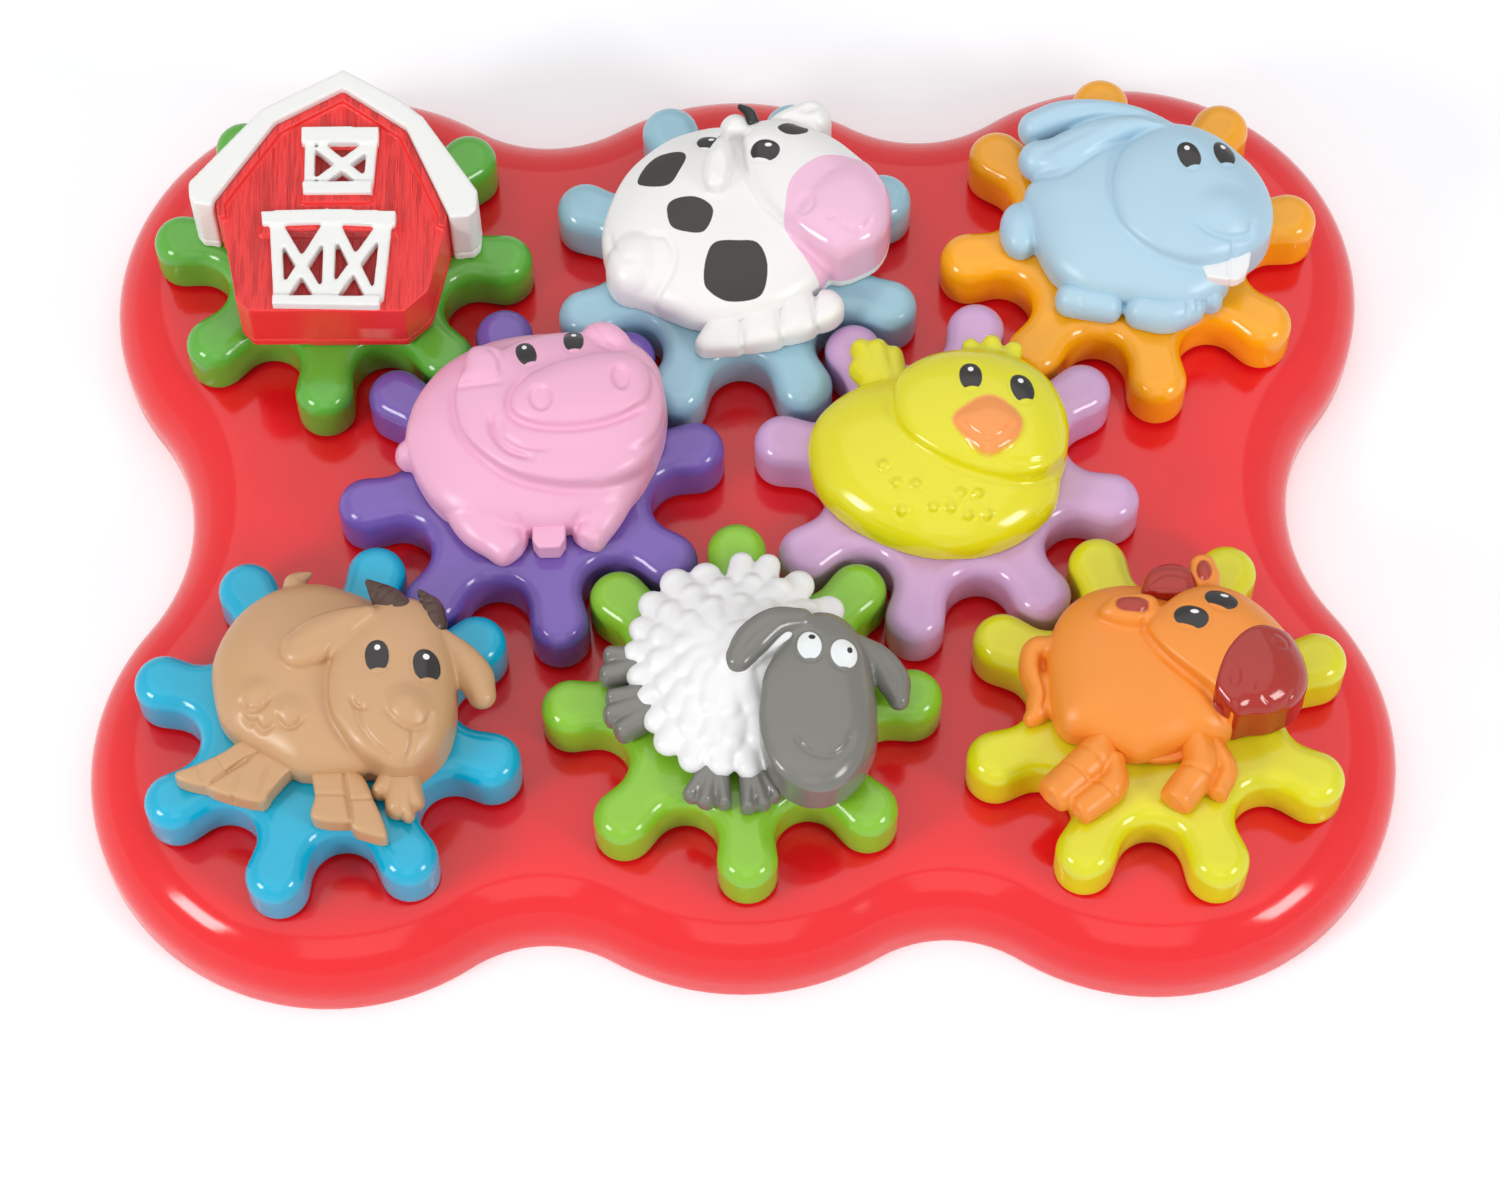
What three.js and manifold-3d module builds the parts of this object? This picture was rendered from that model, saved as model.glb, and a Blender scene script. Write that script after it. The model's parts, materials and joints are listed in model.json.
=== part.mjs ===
// Spinning puzzle toy: eight meshing gears on a scalloped board, each carrying a lift-off farm figure.
// Millimetres, +X to the right, +Y to the back, +Z up. The origin is at the middle of the board's underside.
import * as THREE from 'three';
import { mergeVertices } from 'three/addons/utils/BufferGeometryUtils.js';
import Module from 'manifold-3d';

const wasm = await Module();
wasm.setup();

// Fits shared by every piece
const runGap = 0.3;
const cutOverrun = 1;
const weldShare = 1e-6;

// Gears
const toothCount = 8;
const gearTipRadius = 52.2;
const gearThickness = 15.5;
const gearEdgeRound = 5;
const gearTopWall = 3;
const gearRimWall = 2.6;
const toothEndShare = 0.15;
const valleyReachShare = 0.795;
const valleyRadiusShare = 0.165;
const innerMeshDepth = 17.1;
const cornerMeshDepth = 15.8;
const pigPhaseShare = 0.225;
const cornerAngleShare = 0.298;
const ringPitches = 9;

// Socket under each figure, and the peg that fills it
const socketAcrossFlats = 26;
const socketDepth = 8;
const socketWall = 2.6;
const pegLength = 5;
const pegWall = 3;

// Posts on the board that the gears turn on
const postRadius = 6;
const bearingRingRadius = 11;
const bearingRingHeight = 1.2;
const retainerHeadRadius = 8.2;
const retainerHeadHeight = 2.4;
const retainerStemRadius = 2.6;
const retainerStemLength = 14;

// Board
const boardHeight = 24.5;
const boardEdgeRound = 18;
const boardWall = 3;
const boardRimWidth = 12;
const boardDeck = 3.6;
const cornerLobeMargin = 13.3;
const middleLobeMargin = 14.8;
const notchRadius = 35;
const waistRadius = 52.7;
const cellPitch = 33.6;
const ribThickness = 2.4;
const postBossRadius = 9;
const coverThickness = 3.4;

// Cover screws
const screwShaftRadius = 1.7;
const screwShaftLength = 13;
const screwHeadRadius = 3.6;
const screwHeadHeight = 1.8;
const screwHeadSink = 0.4;
const screwBossRadius = 5;
const screwReach = 39;

// Figures
const figureSpan = 80;
const figureRise = 20;
const figurePlate = 3;
const pegFlangeRadius = 18;

// Faces on round pieces
const roundSteps = 14;
const smallSteps = 8;
const formSteps = 10;
const formRings = 4;
const hexSides = 6;
const toothEndSteps = 2;
const valleySteps = 1;
const lobeSteps = 7;
const hollowSteps = 3;
const edgeSteps = 3;

// Colours, roughness
const plastic = {
  red: [0xe8232b, 0.2],
  coverRed: [0xc81e25, 0.4],
  steel: [0x9a9a98, 0.35],
  white: [0xf2f1ef, 0.35],
  barnRed: [0xe23a36, 0.4],
  green: [0x62ad3b, 0.22],
  skyBlue: [0x9cc4d0, 0.22],
  orange: [0xfcab16, 0.22],
  purple: [0x7a5bb0, 0.22],
  lilac: [0xcfa6d4, 0.22],
  cyan: [0x14b4d8, 0.22],
  lime: [0x8ec63a, 0.22],
  yellow: [0xdfdc1c, 0.22],
  rabbitBlue: [0xb4d2e4, 0.35],
  pigPink: [0xefb0d0, 0.35],
  chickYellow: [0xe6e01c, 0.25],
  goatTan: [0xcba275, 0.35],
  fleece: [0xf0f0f0, 0.45],
  sheepGrey: [0x82817d, 0.25],
  horseOrange: [0xf09632, 0.4],
  muzzleBrown: [0xa83c32, 0.12],
};

// Solids

function toSolid(geometry) {
  const bare = geometry.index ? geometry.clone() : geometry;
  for (const name of Object.keys(bare.attributes)) {
    if (name !== 'position') bare.deleteAttribute(name);
  }
  const welded = mergeVertices(bare, gearTipRadius * weldShare);
  const mesh = new wasm.Mesh({
    numProp: 3,
    vertProperties: new Float32Array(welded.attributes.position.array),
    triVerts: new Uint32Array(welded.index.array),
  });
  return new wasm.Manifold(mesh);
}

function toGeometry(solid) {
  const mesh = solid.getMesh();
  const geometry = new THREE.BufferGeometry();
  geometry.setAttribute('position', new THREE.BufferAttribute(new Float32Array(mesh.vertProperties), 3));
  geometry.setIndex(new THREE.BufferAttribute(new Uint32Array(mesh.triVerts), 1));
  const facets = geometry.toNonIndexed();
  facets.computeVertexNormals();
  return facets;
}

// A solid through closed rings of like point count, capped at the lowest and the highest
function stackedSolid(levels) {
  const count = levels[0].points.length;
  const positions = [];
  for (const level of levels) {
    for (const [x, y] of level.points) positions.push(x, y, level.z);
  }
  const low = levels[0].points.map(([x, y]) => new THREE.Vector2(x, y));
  const high = levels[levels.length - 1].points.map(([x, y]) => new THREE.Vector2(x, y));
  const lowCap = THREE.ShapeUtils.triangulateShape(low, []);
  const highCap = THREE.ShapeUtils.triangulateShape(high, []);
  const index = [];
  for (const [a, b, c] of lowCap) index.push(c, b, a);
  for (let row = 0; row < levels.length - 1; row++) {
    for (let i = 0; i < count; i++) {
      const next = (i + 1) % count;
      const lowRow = row * count;
      const highRow = lowRow + count;
      index.push(lowRow + i, lowRow + next, highRow + next);
      index.push(lowRow + i, highRow + next, highRow + i);
    }
  }
  const last = (levels.length - 1) * count;
  for (const [a, b, c] of highCap) index.push(last + a, last + b, last + c);
  const geometry = new THREE.BufferGeometry();
  geometry.setAttribute('position', new THREE.BufferAttribute(new Float32Array(positions), 3));
  geometry.setIndex(index);
  return toSolid(geometry);
}

function prism(points, low, high) {
  return stackedSolid([{ z: low, points }, { z: high, points }]);
}

function ringPoints(radius, x, y, steps, turn = 0) {
  const points = [];
  for (let i = 0; i < steps; i++) {
    const angle = turn + (2 * Math.PI * i) / steps;
    points.push([x + radius * Math.cos(angle), y + radius * Math.sin(angle)]);
  }
  return points;
}

function post(radius, low, high, x = 0, y = 0, steps = roundSteps) {
  return prism(ringPoints(radius, x, y, steps), low, high);
}

function block(width, depth, low, high, x = 0, y = 0) {
  const geometry = new THREE.BoxGeometry(width, depth, high - low);
  geometry.translate(x, y, (low + high) / 2);
  return toSolid(geometry);
}

function joined(solids) {
  return solids.reduce((sum, solid) => sum.add(solid));
}

function arcPoints(x, y, radius, from, to, steps) {
  const points = [];
  for (let i = 0; i <= steps; i++) {
    const angle = from + ((to - from) * i) / steps;
    points.push([x + radius * Math.cos(angle), y + radius * Math.sin(angle)]);
  }
  return points;
}

// Places of the gears
// The inner pair and the middle pair mesh in a closed ring of four. With eight teeth each, the ring
// closes where eight times the angle of their line of centres is a whole number of tooth pitches. The
// corner gears then lie at a share of a half turn from the inner pair.
const toothPitch = (2 * Math.PI) / toothCount;
const ringAngle = (ringPitches * toothPitch) / toothCount;
const ringReach = 2 * gearTipRadius - innerMeshDepth;
const cornerAngle = cornerAngleShare * Math.PI;
const cornerReach = 2 * gearTipRadius - cornerMeshDepth;
const innerX = ringReach * Math.cos(ringAngle);
const middleY = ringReach * Math.sin(ringAngle);
const cornerX = innerX + cornerReach * Math.cos(cornerAngle);
const cornerY = cornerReach * Math.sin(cornerAngle);

const stations = [
  { figure: 'pig', gear: 'purple', x: -innerX, y: 0, turnedBy: null },
  { figure: 'cow', gear: 'skyBlue', x: 0, y: middleY, turnedBy: 'pig' },
  { figure: 'sheep', gear: 'lime', x: 0, y: -middleY, turnedBy: 'pig' },
  { figure: 'barn', gear: 'green', x: -cornerX, y: cornerY, turnedBy: 'pig' },
  { figure: 'goat', gear: 'cyan', x: -cornerX, y: -cornerY, turnedBy: 'pig' },
  { figure: 'chick', gear: 'lilac', x: innerX, y: 0, turnedBy: 'cow' },
  { figure: 'rabbit', gear: 'orange', x: cornerX, y: cornerY, turnedBy: 'chick' },
  { figure: 'horse', gear: 'yellow', x: cornerX, y: -cornerY, turnedBy: 'chick' },
];

// A tooth of one gear stands in a valley of the gear that turns it
for (const station of stations) {
  const driver = stations.find((other) => other.figure === station.turnedBy);
  if (!driver) {
    station.phase = pigPhaseShare * toothPitch;
    continue;
  }
  const line = Math.atan2(station.y - driver.y, station.x - driver.x);
  const open = 2 * line + toothPitch / 2 - driver.phase;
  station.phase = open - toothPitch * Math.floor(open / toothPitch);
}

// Gear

const toothEndRadius = toothEndShare * gearTipRadius;
const valleyReach = valleyReachShare * gearTipRadius;
const valleyRadius = valleyRadiusShare * gearTipRadius;
const gearRootRadius = valleyReach - valleyRadius;
const gearLow = boardHeight + bearingRingHeight + runGap;
const gearHigh = gearLow + gearThickness;
const socketFloor = gearHigh - socketDepth;
const socketRadius = socketAcrossFlats / 2 / Math.cos(Math.PI / hexSides);
const hubRadius = socketRadius + socketWall;

// Half a tooth: its round end, then the round valley, joined where one line touches both
function gearOutline(inset) {
  const end = toothEndRadius - inset;
  const valley = valleyRadius + inset;
  const endX = gearTipRadius - toothEndRadius;
  const valleyX = valleyReach * Math.cos(toothPitch / 2);
  const valleyY = valleyReach * Math.sin(toothPitch / 2);
  const reach = Math.hypot(valleyX - endX, valleyY);
  const lean = Math.atan2(valleyY, valleyX - endX) - Math.acos((end + valley) / reach);
  const half = [
    ...arcPoints(endX, 0, end, 0, lean, toothEndSteps),
    ...arcPoints(valleyX, valleyY, valley, lean + Math.PI, Math.PI + toothPitch / 2, valleySteps),
  ];
  const mirrored = half.slice(1, -1).reverse().map(([x, y]) => [
    x * Math.cos(toothPitch) + y * Math.sin(toothPitch),
    x * Math.sin(toothPitch) - y * Math.cos(toothPitch),
  ]);
  const points = [];
  for (let tooth = 0; tooth < toothCount; tooth++) {
    const turn = tooth * toothPitch;
    for (const [x, y] of [...half, ...mirrored]) {
      points.push([x * Math.cos(turn) - y * Math.sin(turn), x * Math.sin(turn) + y * Math.cos(turn)]);
    }
  }
  return points;
}

function makeGear() {
  const roundLow = gearHigh - gearEdgeRound;
  const levels = [{ z: gearLow, points: gearOutline(0) }];
  for (let i = 0; i < edgeSteps; i++) {
    const angle = (i * Math.PI) / 2 / (edgeSteps - 1);
    const inset = gearEdgeRound * (1 - Math.cos(angle));
    levels.push({ z: roundLow + gearEdgeRound * Math.sin(angle), points: gearOutline(inset) });
  }
  const hub = post(hubRadius, gearLow - cutOverrun, gearHigh);
  const rimInner = gearRootRadius - gearRimWall;
  const webbing = post(rimInner, gearLow - cutOverrun, gearHigh - gearTopWall).subtract(hub);
  const bore = post(postRadius + runGap, gearLow - cutOverrun, gearHigh);
  const socket = prism(ringPoints(socketRadius, 0, 0, hexSides), socketFloor, gearHigh + cutOverrun);
  return stackedSolid(levels).subtract(webbing).subtract(bore).subtract(socket);
}

// Board

const cornerLobe = gearTipRadius + cornerLobeMargin;
const middleLobe = gearTipRadius + middleLobeMargin;
const lobes = [
  { x: cornerX, y: -cornerY, radius: cornerLobe, after: waistRadius },
  { x: cornerX, y: cornerY, radius: cornerLobe, after: notchRadius },
  { x: 0, y: middleY, radius: middleLobe, after: notchRadius },
  { x: -cornerX, y: cornerY, radius: cornerLobe, after: waistRadius },
  { x: -cornerX, y: -cornerY, radius: cornerLobe, after: notchRadius },
  { x: 0, y: -middleY, radius: middleLobe, after: notchRadius },
];

// Centre of the hollow curve that touches two lobes from outside
function hollowBetween(one, two) {
  const span = Math.hypot(two.x - one.x, two.y - one.y);
  const alongX = (two.x - one.x) / span;
  const alongY = (two.y - one.y) / span;
  const fromOne = one.radius + one.after;
  const fromTwo = two.radius + one.after;
  const along = (span * span + fromOne * fromOne - fromTwo * fromTwo) / (2 * span);
  const out = Math.sqrt(fromOne * fromOne - along * along);
  return { x: one.x + along * alongX + out * alongY, y: one.y + along * alongY - out * alongX };
}

function angleAfter(angle, start) {
  const turn = 2 * Math.PI;
  return start + (angle - start) - turn * Math.floor((angle - start) / turn);
}

function boardOutline(inset) {
  const points = [];
  const hollows = lobes.map((lobe, i) => hollowBetween(lobe, lobes[(i + 1) % lobes.length]));
  lobes.forEach((lobe, i) => {
    const before = hollows[(i + lobes.length - 1) % lobes.length];
    const after = hollows[i];
    const next = lobes[(i + 1) % lobes.length];
    const from = Math.atan2(before.y - lobe.y, before.x - lobe.x);
    const to = angleAfter(Math.atan2(after.y - lobe.y, after.x - lobe.x), from);
    points.push(...arcPoints(lobe.x, lobe.y, lobe.radius - inset, from, to, lobeSteps));
    const hollowTo = Math.atan2(next.y - after.y, next.x - after.x);
    const hollowFrom = angleAfter(Math.atan2(lobe.y - after.y, lobe.x - after.x), hollowTo);
    const curve = arcPoints(after.x, after.y, lobe.after + inset, hollowFrom, hollowTo, hollowSteps);
    points.push(...curve.slice(1, -1));
  });
  return points;
}

// The board's outer form: upright below, rounded over above
function boardForm() {
  const roundLow = boardHeight - boardEdgeRound;
  const levels = [{ z: 0, points: boardOutline(0) }];
  for (let i = 0; i <= edgeSteps; i++) {
    const angle = (i * Math.PI) / 2 / edgeSteps;
    const inset = boardEdgeRound * (1 - Math.cos(angle));
    levels.push({ z: roundLow + boardEdgeRound * Math.sin(angle), points: boardOutline(inset) });
  }
  return stackedSolid(levels);
}

// Screws stand in each corner lobe and each middle lobe, between the gear's post and the edge
const screwPlaces = lobes.map((lobe) => {
  const reach = Math.hypot(lobe.x, lobe.y);
  const share = 1 + screwReach / reach;
  return [lobe.x * share, lobe.y * share];
});

const screwHeadTop = screwHeadSink + screwHeadHeight;
const screwTop = screwHeadTop + screwShaftLength;
const postTop = socketFloor + runGap;

// Square cells core out the underside inside the rim, and leave ribs, a boss round each post and one round
// each screw
function boardCells(low, high) {
  const size = cellPitch - ribThickness;
  const columns = Math.ceil((cornerX + cornerLobe) / cellPitch);
  const rows = Math.ceil((middleY + middleLobe) / cellPitch);
  const cells = [];
  for (let column = -columns; column <= columns; column++) {
    for (let row = -rows; row <= rows; row++) {
      cells.push(block(size, size, low, high, column * cellPitch, row * cellPitch));
    }
  }
  const cutLow = low - cutOverrun;
  const cutHigh = high + cutOverrun;
  const bosses = joined([
    ...stations.map(({ x, y }) => post(postBossRadius, cutLow, cutHigh, x, y, smallSteps)),
    ...screwPlaces.map(([x, y]) => post(screwBossRadius, cutLow, cutHigh, x, y, smallSteps)),
  ]);
  const field = prism(boardOutline(boardRimWidth), cutLow, cutHigh);
  return joined(cells).intersect(field).subtract(bosses);
}

function makeBoard() {
  const ribLow = coverThickness + runGap;
  const cells = boardCells(ribLow - runGap, boardHeight - boardDeck);
  const coverSeat = prism(boardOutline(boardWall), -cutOverrun, ribLow);
  const posts = stations.map(({ x, y }) => joined([
    post(bearingRingRadius, boardHeight - boardDeck, boardHeight + bearingRingHeight, x, y),
    post(postRadius, boardHeight - boardDeck, postTop, x, y),
  ]));
  const stemLow = postTop - retainerStemLength - runGap;
  const stemBore = retainerStemRadius + runGap;
  const screwBore = screwShaftRadius + runGap;
  const screwLow = ribLow - cutOverrun;
  const bores = joined([
    ...stations.map(({ x, y }) => post(stemBore, stemLow, postTop + cutOverrun, x, y, smallSteps)),
    ...screwPlaces.map(([x, y]) => post(screwBore, screwLow, screwTop + runGap, x, y, smallSteps)),
  ]);
  return joined([boardForm().subtract(coverSeat).subtract(cells), ...posts]).subtract(bores);
}

function makeCover() {
  const plate = prism(boardOutline(boardWall + runGap), 0, coverThickness);
  const holes = screwPlaces.map(([x, y]) => joined([
    post(screwHeadRadius + runGap, -cutOverrun, screwHeadTop + runGap, x, y, smallSteps),
    post(screwShaftRadius + runGap, -cutOverrun, coverThickness + cutOverrun, x, y, smallSteps),
  ]));
  return plate.subtract(joined(holes));
}

function makeScrew(x, y) {
  return joined([
    post(screwHeadRadius, screwHeadSink, screwHeadTop, x, y, smallSteps),
    post(screwShaftRadius, screwHeadSink, screwTop, x, y, smallSteps),
  ]);
}

// The broad-headed pin pressed into the post, which keeps its gear from lifting off
function makeRetainer(x, y) {
  const seat = postTop + runGap;
  return joined([
    post(retainerHeadRadius, seat, seat + retainerHeadHeight, x, y),
    post(retainerStemRadius, seat - retainerStemLength, seat + retainerHeadHeight, x, y, smallSteps),
  ]);
}

// Figures
// Each figure is a union of rounded forms. A row is x, y, z, then the half sizes in x, y, z, then the turn
// in degrees. Plan values are shares of figureSpan and heights are shares of figureRise above the gear.

const figureLow = gearHigh + runGap;
const plateHigh = figureLow + figurePlate;
const frontLow = plateHigh + runGap;
const clipSpan = figureSpan + figureSpan;

function roundForm([x, y, z, halfX, halfY, halfZ, degrees], grow = 0) {
  const geometry = new THREE.SphereGeometry(1, formSteps, formRings);
  geometry.rotateX(Math.PI / 2);
  geometry.scale(figureSpan * halfX + grow, figureSpan * halfY + grow, figureRise * halfZ + grow);
  geometry.rotateZ(THREE.MathUtils.degToRad(degrees));
  geometry.translate(figureSpan * x, figureSpan * y, figureLow + figureRise * z);
  return toSolid(geometry);
}

const cowShares = [
  [-0.138, 0.02, 0.12, 0.32, 0.345, 0.75, 0],
  [-0.3, -0.165, 0.2, 0.125, 0.11, 0.55, 30],
  [0.18, 0.18, 0.25, 0.165, 0.27, 0.72, 30],
  [0.335, -0.02, 0.3, 0.19, 0.22, 0.72, 20],
  [-0.03, 0.22, 0.65, 0.055, 0.13, 0.22, -17],
  [0.2, 0.41, 0.35, 0.125, 0.072, 0.3, 5],
  [0.015, 0.41, 0.4, 0.07, 0.062, 0.3, 0],
  [0.05, 0.455, 0.4, 0.028, 0.05, 0.18, 35],
  [-0.1, -0.355, 0.12, 0.08, 0.08, 0.35, -20],
  [0.05, -0.34, 0.12, 0.088, 0.08, 0.35, -10],
  [0.175, -0.31, 0.12, 0.085, 0.075, 0.35, 10],
  [0.285, -0.27, 0.12, 0.08, 0.068, 0.33, 30],
];

const rabbitShares = [
  [-0.05, 0.01, 0.12, 0.34, 0.325, 0.7, -20],
  [0.19, 0.035, 0.25, 0.285, 0.31, 0.78, -15],
  [-0.1, 0.405, 0.2, 0.27, 0.07, 0.42, 8],
  [-0.13, 0.3, 0.35, 0.28, 0.08, 0.42, 18],
  [-0.4, -0.03, 0.12, 0.085, 0.085, 0.38, 0],
  [-0.16, -0.33, 0.1, 0.13, 0.08, 0.33, -5],
  [0.08, -0.355, 0.1, 0.145, 0.085, 0.33, 5],
  [0.215, -0.315, 0.1, 0.075, 0.07, 0.3, 0],
  [0.285, -0.3, 0.35, 0.08, 0.042, 0.2, 0],
];

const pigShares = [
  [0.02, 0.02, 0.12, 0.41, 0.385, 0.8, 10],
  [0.14, 0.08, 0.35, 0.28, 0.26, 0.7, 15],
  [0.17, 0.13, 0.75, 0.19, 0.13, 0.4, 14],
  [-0.145, 0.27, 0.6, 0.08, 0.07, 0.35, 30],
  [0.24, 0.35, 0.4, 0.09, 0.075, 0.42, -30],
  [-0.395, 0.035, 0.15, 0.055, 0.055, 0.3, 0],
  [-0.115, -0.295, 0.12, 0.12, 0.085, 0.42, -25],
  [0.07, -0.35, 0.1, 0.055, 0.055, 0.32, 0],
  [0.22, -0.28, 0.12, 0.13, 0.085, 0.42, 32],
];

const chickShares = [
  [-0.045, -0.105, 0.12, 0.405, 0.285, 0.72, -6],
  [0.1, 0.05, 0.3, 0.29, 0.265, 0.75, -12],
  [0.085, 0.335, 0.35, 0.04, 0.05, 0.22, 15],
  [0.155, 0.34, 0.35, 0.04, 0.05, 0.22, 0],
  [0.225, 0.305, 0.35, 0.04, 0.05, 0.22, -20],
  [-0.215, 0.22, 0.12, 0.09, 0.11, 0.35, 10],
  [-0.29, 0.31, 0.12, 0.06, 0.075, 0.3, 35],
  [-0.2, 0.34, 0.12, 0.065, 0.085, 0.32, 0],
  [0.115, -0.04, 0.85, 0.115, 0.105, 0.34, 0],
];

const goatShares = [
  [-0.085, 0.075, 0.12, 0.28, 0.325, 0.74, 0],
  [0.24, -0.04, 0.3, 0.21, 0.315, 0.75, 5],
  [0, 0.195, 0.6, 0.165, 0.068, 0.25, 22],
  [0.475, 0.045, 0.45, 0.065, 0.155, 0.26, 28],
  [0.185, 0.305, 0.4, 0.055, 0.08, 0.3, 40],
  [0.315, 0.265, 0.35, 0.04, 0.09, 0.3, 30],
  [-0.09, 0.405, 0.15, 0.07, 0.055, 0.28, 10],
  [-0.335, -0.225, 0.1, 0.15, 0.06, 0.28, 28],
  [-0.235, -0.285, 0.12, 0.115, 0.07, 0.3, 38],
  [0.015, -0.32, 0.1, 0.068, 0.115, 0.28, 0],
  [0.125, -0.335, 0.12, 0.055, 0.13, 0.3, 30],
  [0.26, -0.385, 0.25, 0.062, 0.07, 0.3, 0],
];

const fleeceShares = [
  [-0.02, 0.07, 0.12, 0.33, 0.345, 0.74, 0],
  [-0.41, 0.08, 0.1, 0.062, 0.065, 0.25, 0],
  [-0.39, -0.065, 0.1, 0.072, 0.065, 0.25, 0],
  [-0.1, -0.345, 0.1, 0.065, 0.1, 0.28, 0],
];
const fleeceLobeShares = [0.325, 0.33, 0.09, 0.42];
const fleeceLobeCount = 9;

const sheepHeadShares = [
  [0.24, -0.135, 0.35, 0.19, 0.33, 0.72, 3],
  [0.1, 0.105, 0.5, 0.165, 0.075, 0.36, 38],
  [0.435, -0.03, 0.4, 0.065, 0.145, 0.3, 30],
];

const horseShares = [
  [-0.095, 0.04, 0.12, 0.3, 0.305, 0.74, -10],
  [0.14, 0.13, 0.3, 0.19, 0.265, 0.72, 34],
  [-0.1, 0.265, 0.6, 0.09, 0.052, 0.22, -10],
  [0.15, 0.385, 0.5, 0.045, 0.06, 0.25, 0],
  [0.04, 0.335, 0.5, 0.1, 0.065, 0.28, 10],
  [-0.39, 0.05, 0.12, 0.06, 0.175, 0.28, 0],
  [-0.32, -0.3, 0.12, 0.1, 0.075, 0.28, 40],
  [-0.225, -0.36, 0.12, 0.095, 0.062, 0.25, 25],
  [-0.25, -0.25, 0.15, 0.06, 0.1, 0.28, -20],
  [0.05, -0.29, 0.12, 0.075, 0.12, 0.28, -25],
  [0.15, -0.275, 0.12, 0.062, 0.1, 0.25, 15],
];

const horseMuzzleShares = [[0.3, -0.045, 0.32, 0.165, 0.18, 0.74, 30]];

function fleeceForms() {
  const [reachX, reachY, half, high] = fleeceLobeShares;
  const [middleX, middleY] = fleeceShares[0];
  const forms = [...fleeceShares];
  for (let i = 0; i < fleeceLobeCount; i++) {
    const angle = (2 * Math.PI * (i + 0.5)) / fleeceLobeCount;
    const x = middleX + reachX * Math.cos(angle);
    const y = middleY + reachY * Math.sin(angle);
    forms.push([x, y, fleeceShares[0][2], half, half, high, 0]);
  }
  return forms;
}

// The peg under a figure: a hexagonal tube turned as its gear's socket is, ending just above the retainer
function makePeg(phase) {
  const outer = socketRadius - runGap / Math.cos(Math.PI / hexSides);
  const tube = prism(ringPoints(outer, 0, 0, hexSides, phase), figureLow - pegLength, plateHigh);
  return tube.subtract(post(outer - pegWall, figureLow - pegLength - cutOverrun, figureLow));
}

function above(level) {
  return block(clipSpan, clipSpan, level, level + clipSpan);
}

// Barn outlines: half widths and depths, as shares of figureSpan
const barnTurn = -2.5;
const barnFootShares = [[0.325, -0.35], [0.28, -0.39]];
const barnGableShares = [[0, 0.485], [0.235, 0.325], [0.4, 0.05]];
const barnRoofShares = [[0, 0.54], [0.275, 0.37], [0.49, 0.08], [0.48, 0.01]];
const barnBodyRiseShare = 0.95;
const barnRoofRiseShare = 1.1;
const barnTrimRiseShare = 0.07;
const barnDoorShares = [-0.02, -0.19, 0.4, 0.3];
const barnWindowShares = [0.01, 0.19, 0.24, 0.21];

function bothSides(shares) {
  const right = shares.map(([x, y]) => [figureSpan * x, figureSpan * y]);
  const left = right.filter(([x]) => x > 0).map(([x, y]) => [-x, y]);
  return { right, left };
}

function turned(points) {
  const turn = THREE.MathUtils.degToRad(barnTurn);
  return points.map(([x, y]) => [
    x * Math.cos(turn) - y * Math.sin(turn),
    x * Math.sin(turn) + y * Math.cos(turn),
  ]);
}

// Counter-clockwise loop from the peak down the left side and up the right
function barnLoop(gable, foot) {
  const top = bothSides(gable);
  const low = bothSides(foot);
  const [peak, ...topRight] = top.right;
  return turned([peak, ...top.left, ...low.left, ...low.right.reverse(), ...topRight.reverse()]);
}

function barnPlaque([x, y, width, depth], low, high) {
  const halfWidth = (figureSpan * width) / 2;
  const halfDepth = (figureSpan * depth) / 2;
  const middleX = figureSpan * x;
  const middleY = figureSpan * y;
  const corners = [[-1, -1], [1, -1], [1, 1], [-1, 1]];
  const points = corners.map(([right, back]) => [middleX + right * halfWidth, middleY + back * halfDepth]);
  return prism(turned(points), low, high);
}

function makeBarn(phase) {
  const bodyHigh = figureLow + figureRise * barnBodyRiseShare;
  const roofHigh = figureLow + figureRise * barnRoofRiseShare;
  const trimHigh = bodyHigh + figureRise * barnTrimRiseShare;
  const gable = barnLoop(barnGableShares, barnFootShares);
  const inner = prism(gable, frontLow - cutOverrun, roofHigh + cutOverrun);
  const roofLoop = barnLoop(barnRoofShares, []);
  const roof = prism(roofLoop, frontLow, roofHigh).subtract(inner);
  const grown = prism(roofLoop, frontLow - cutOverrun, roofHigh + cutOverrun).subtract(inner);
  const shrink = 1 - runGap / (figureSpan * barnGableShares[2][0]);
  const body = prism(gable.map(([x, y]) => [x * shrink, y * shrink]), frontLow, bodyHigh);
  const front = joined([
    body,
    barnPlaque(barnDoorShares, frontLow, trimHigh),
    barnPlaque(barnWindowShares, frontLow, trimHigh),
  ]);
  const plate = joined([prism(gable, figureLow, plateHigh), prism(roofLoop, figureLow, plateHigh)]);
  return { front: front.subtract(grown), back: joined([plate, makePeg(phase)]), inserts: [roof] };
}

// An animal is one moulding with a round pocket below, where the flange of its peg is let in
function makeAnimal(shares, phase, insertShares = []) {
  const pocket = post(pegFlangeRadius + runGap, figureLow - cutOverrun, frontLow);
  const body = joined(shares.map((share) => roundForm(share))).intersect(above(figureLow)).subtract(pocket);
  const back = joined([post(pegFlangeRadius, figureLow, plateHigh), makePeg(phase)]);
  if (insertShares.length === 0) return { front: body, back, inserts: [] };
  const grown = joined(insertShares.map((share) => roundForm(share, runGap)));
  const insert = joined(insertShares.map((share) => roundForm(share))).intersect(above(frontLow));
  return { front: body.subtract(grown), back, inserts: [insert] };
}

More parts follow.
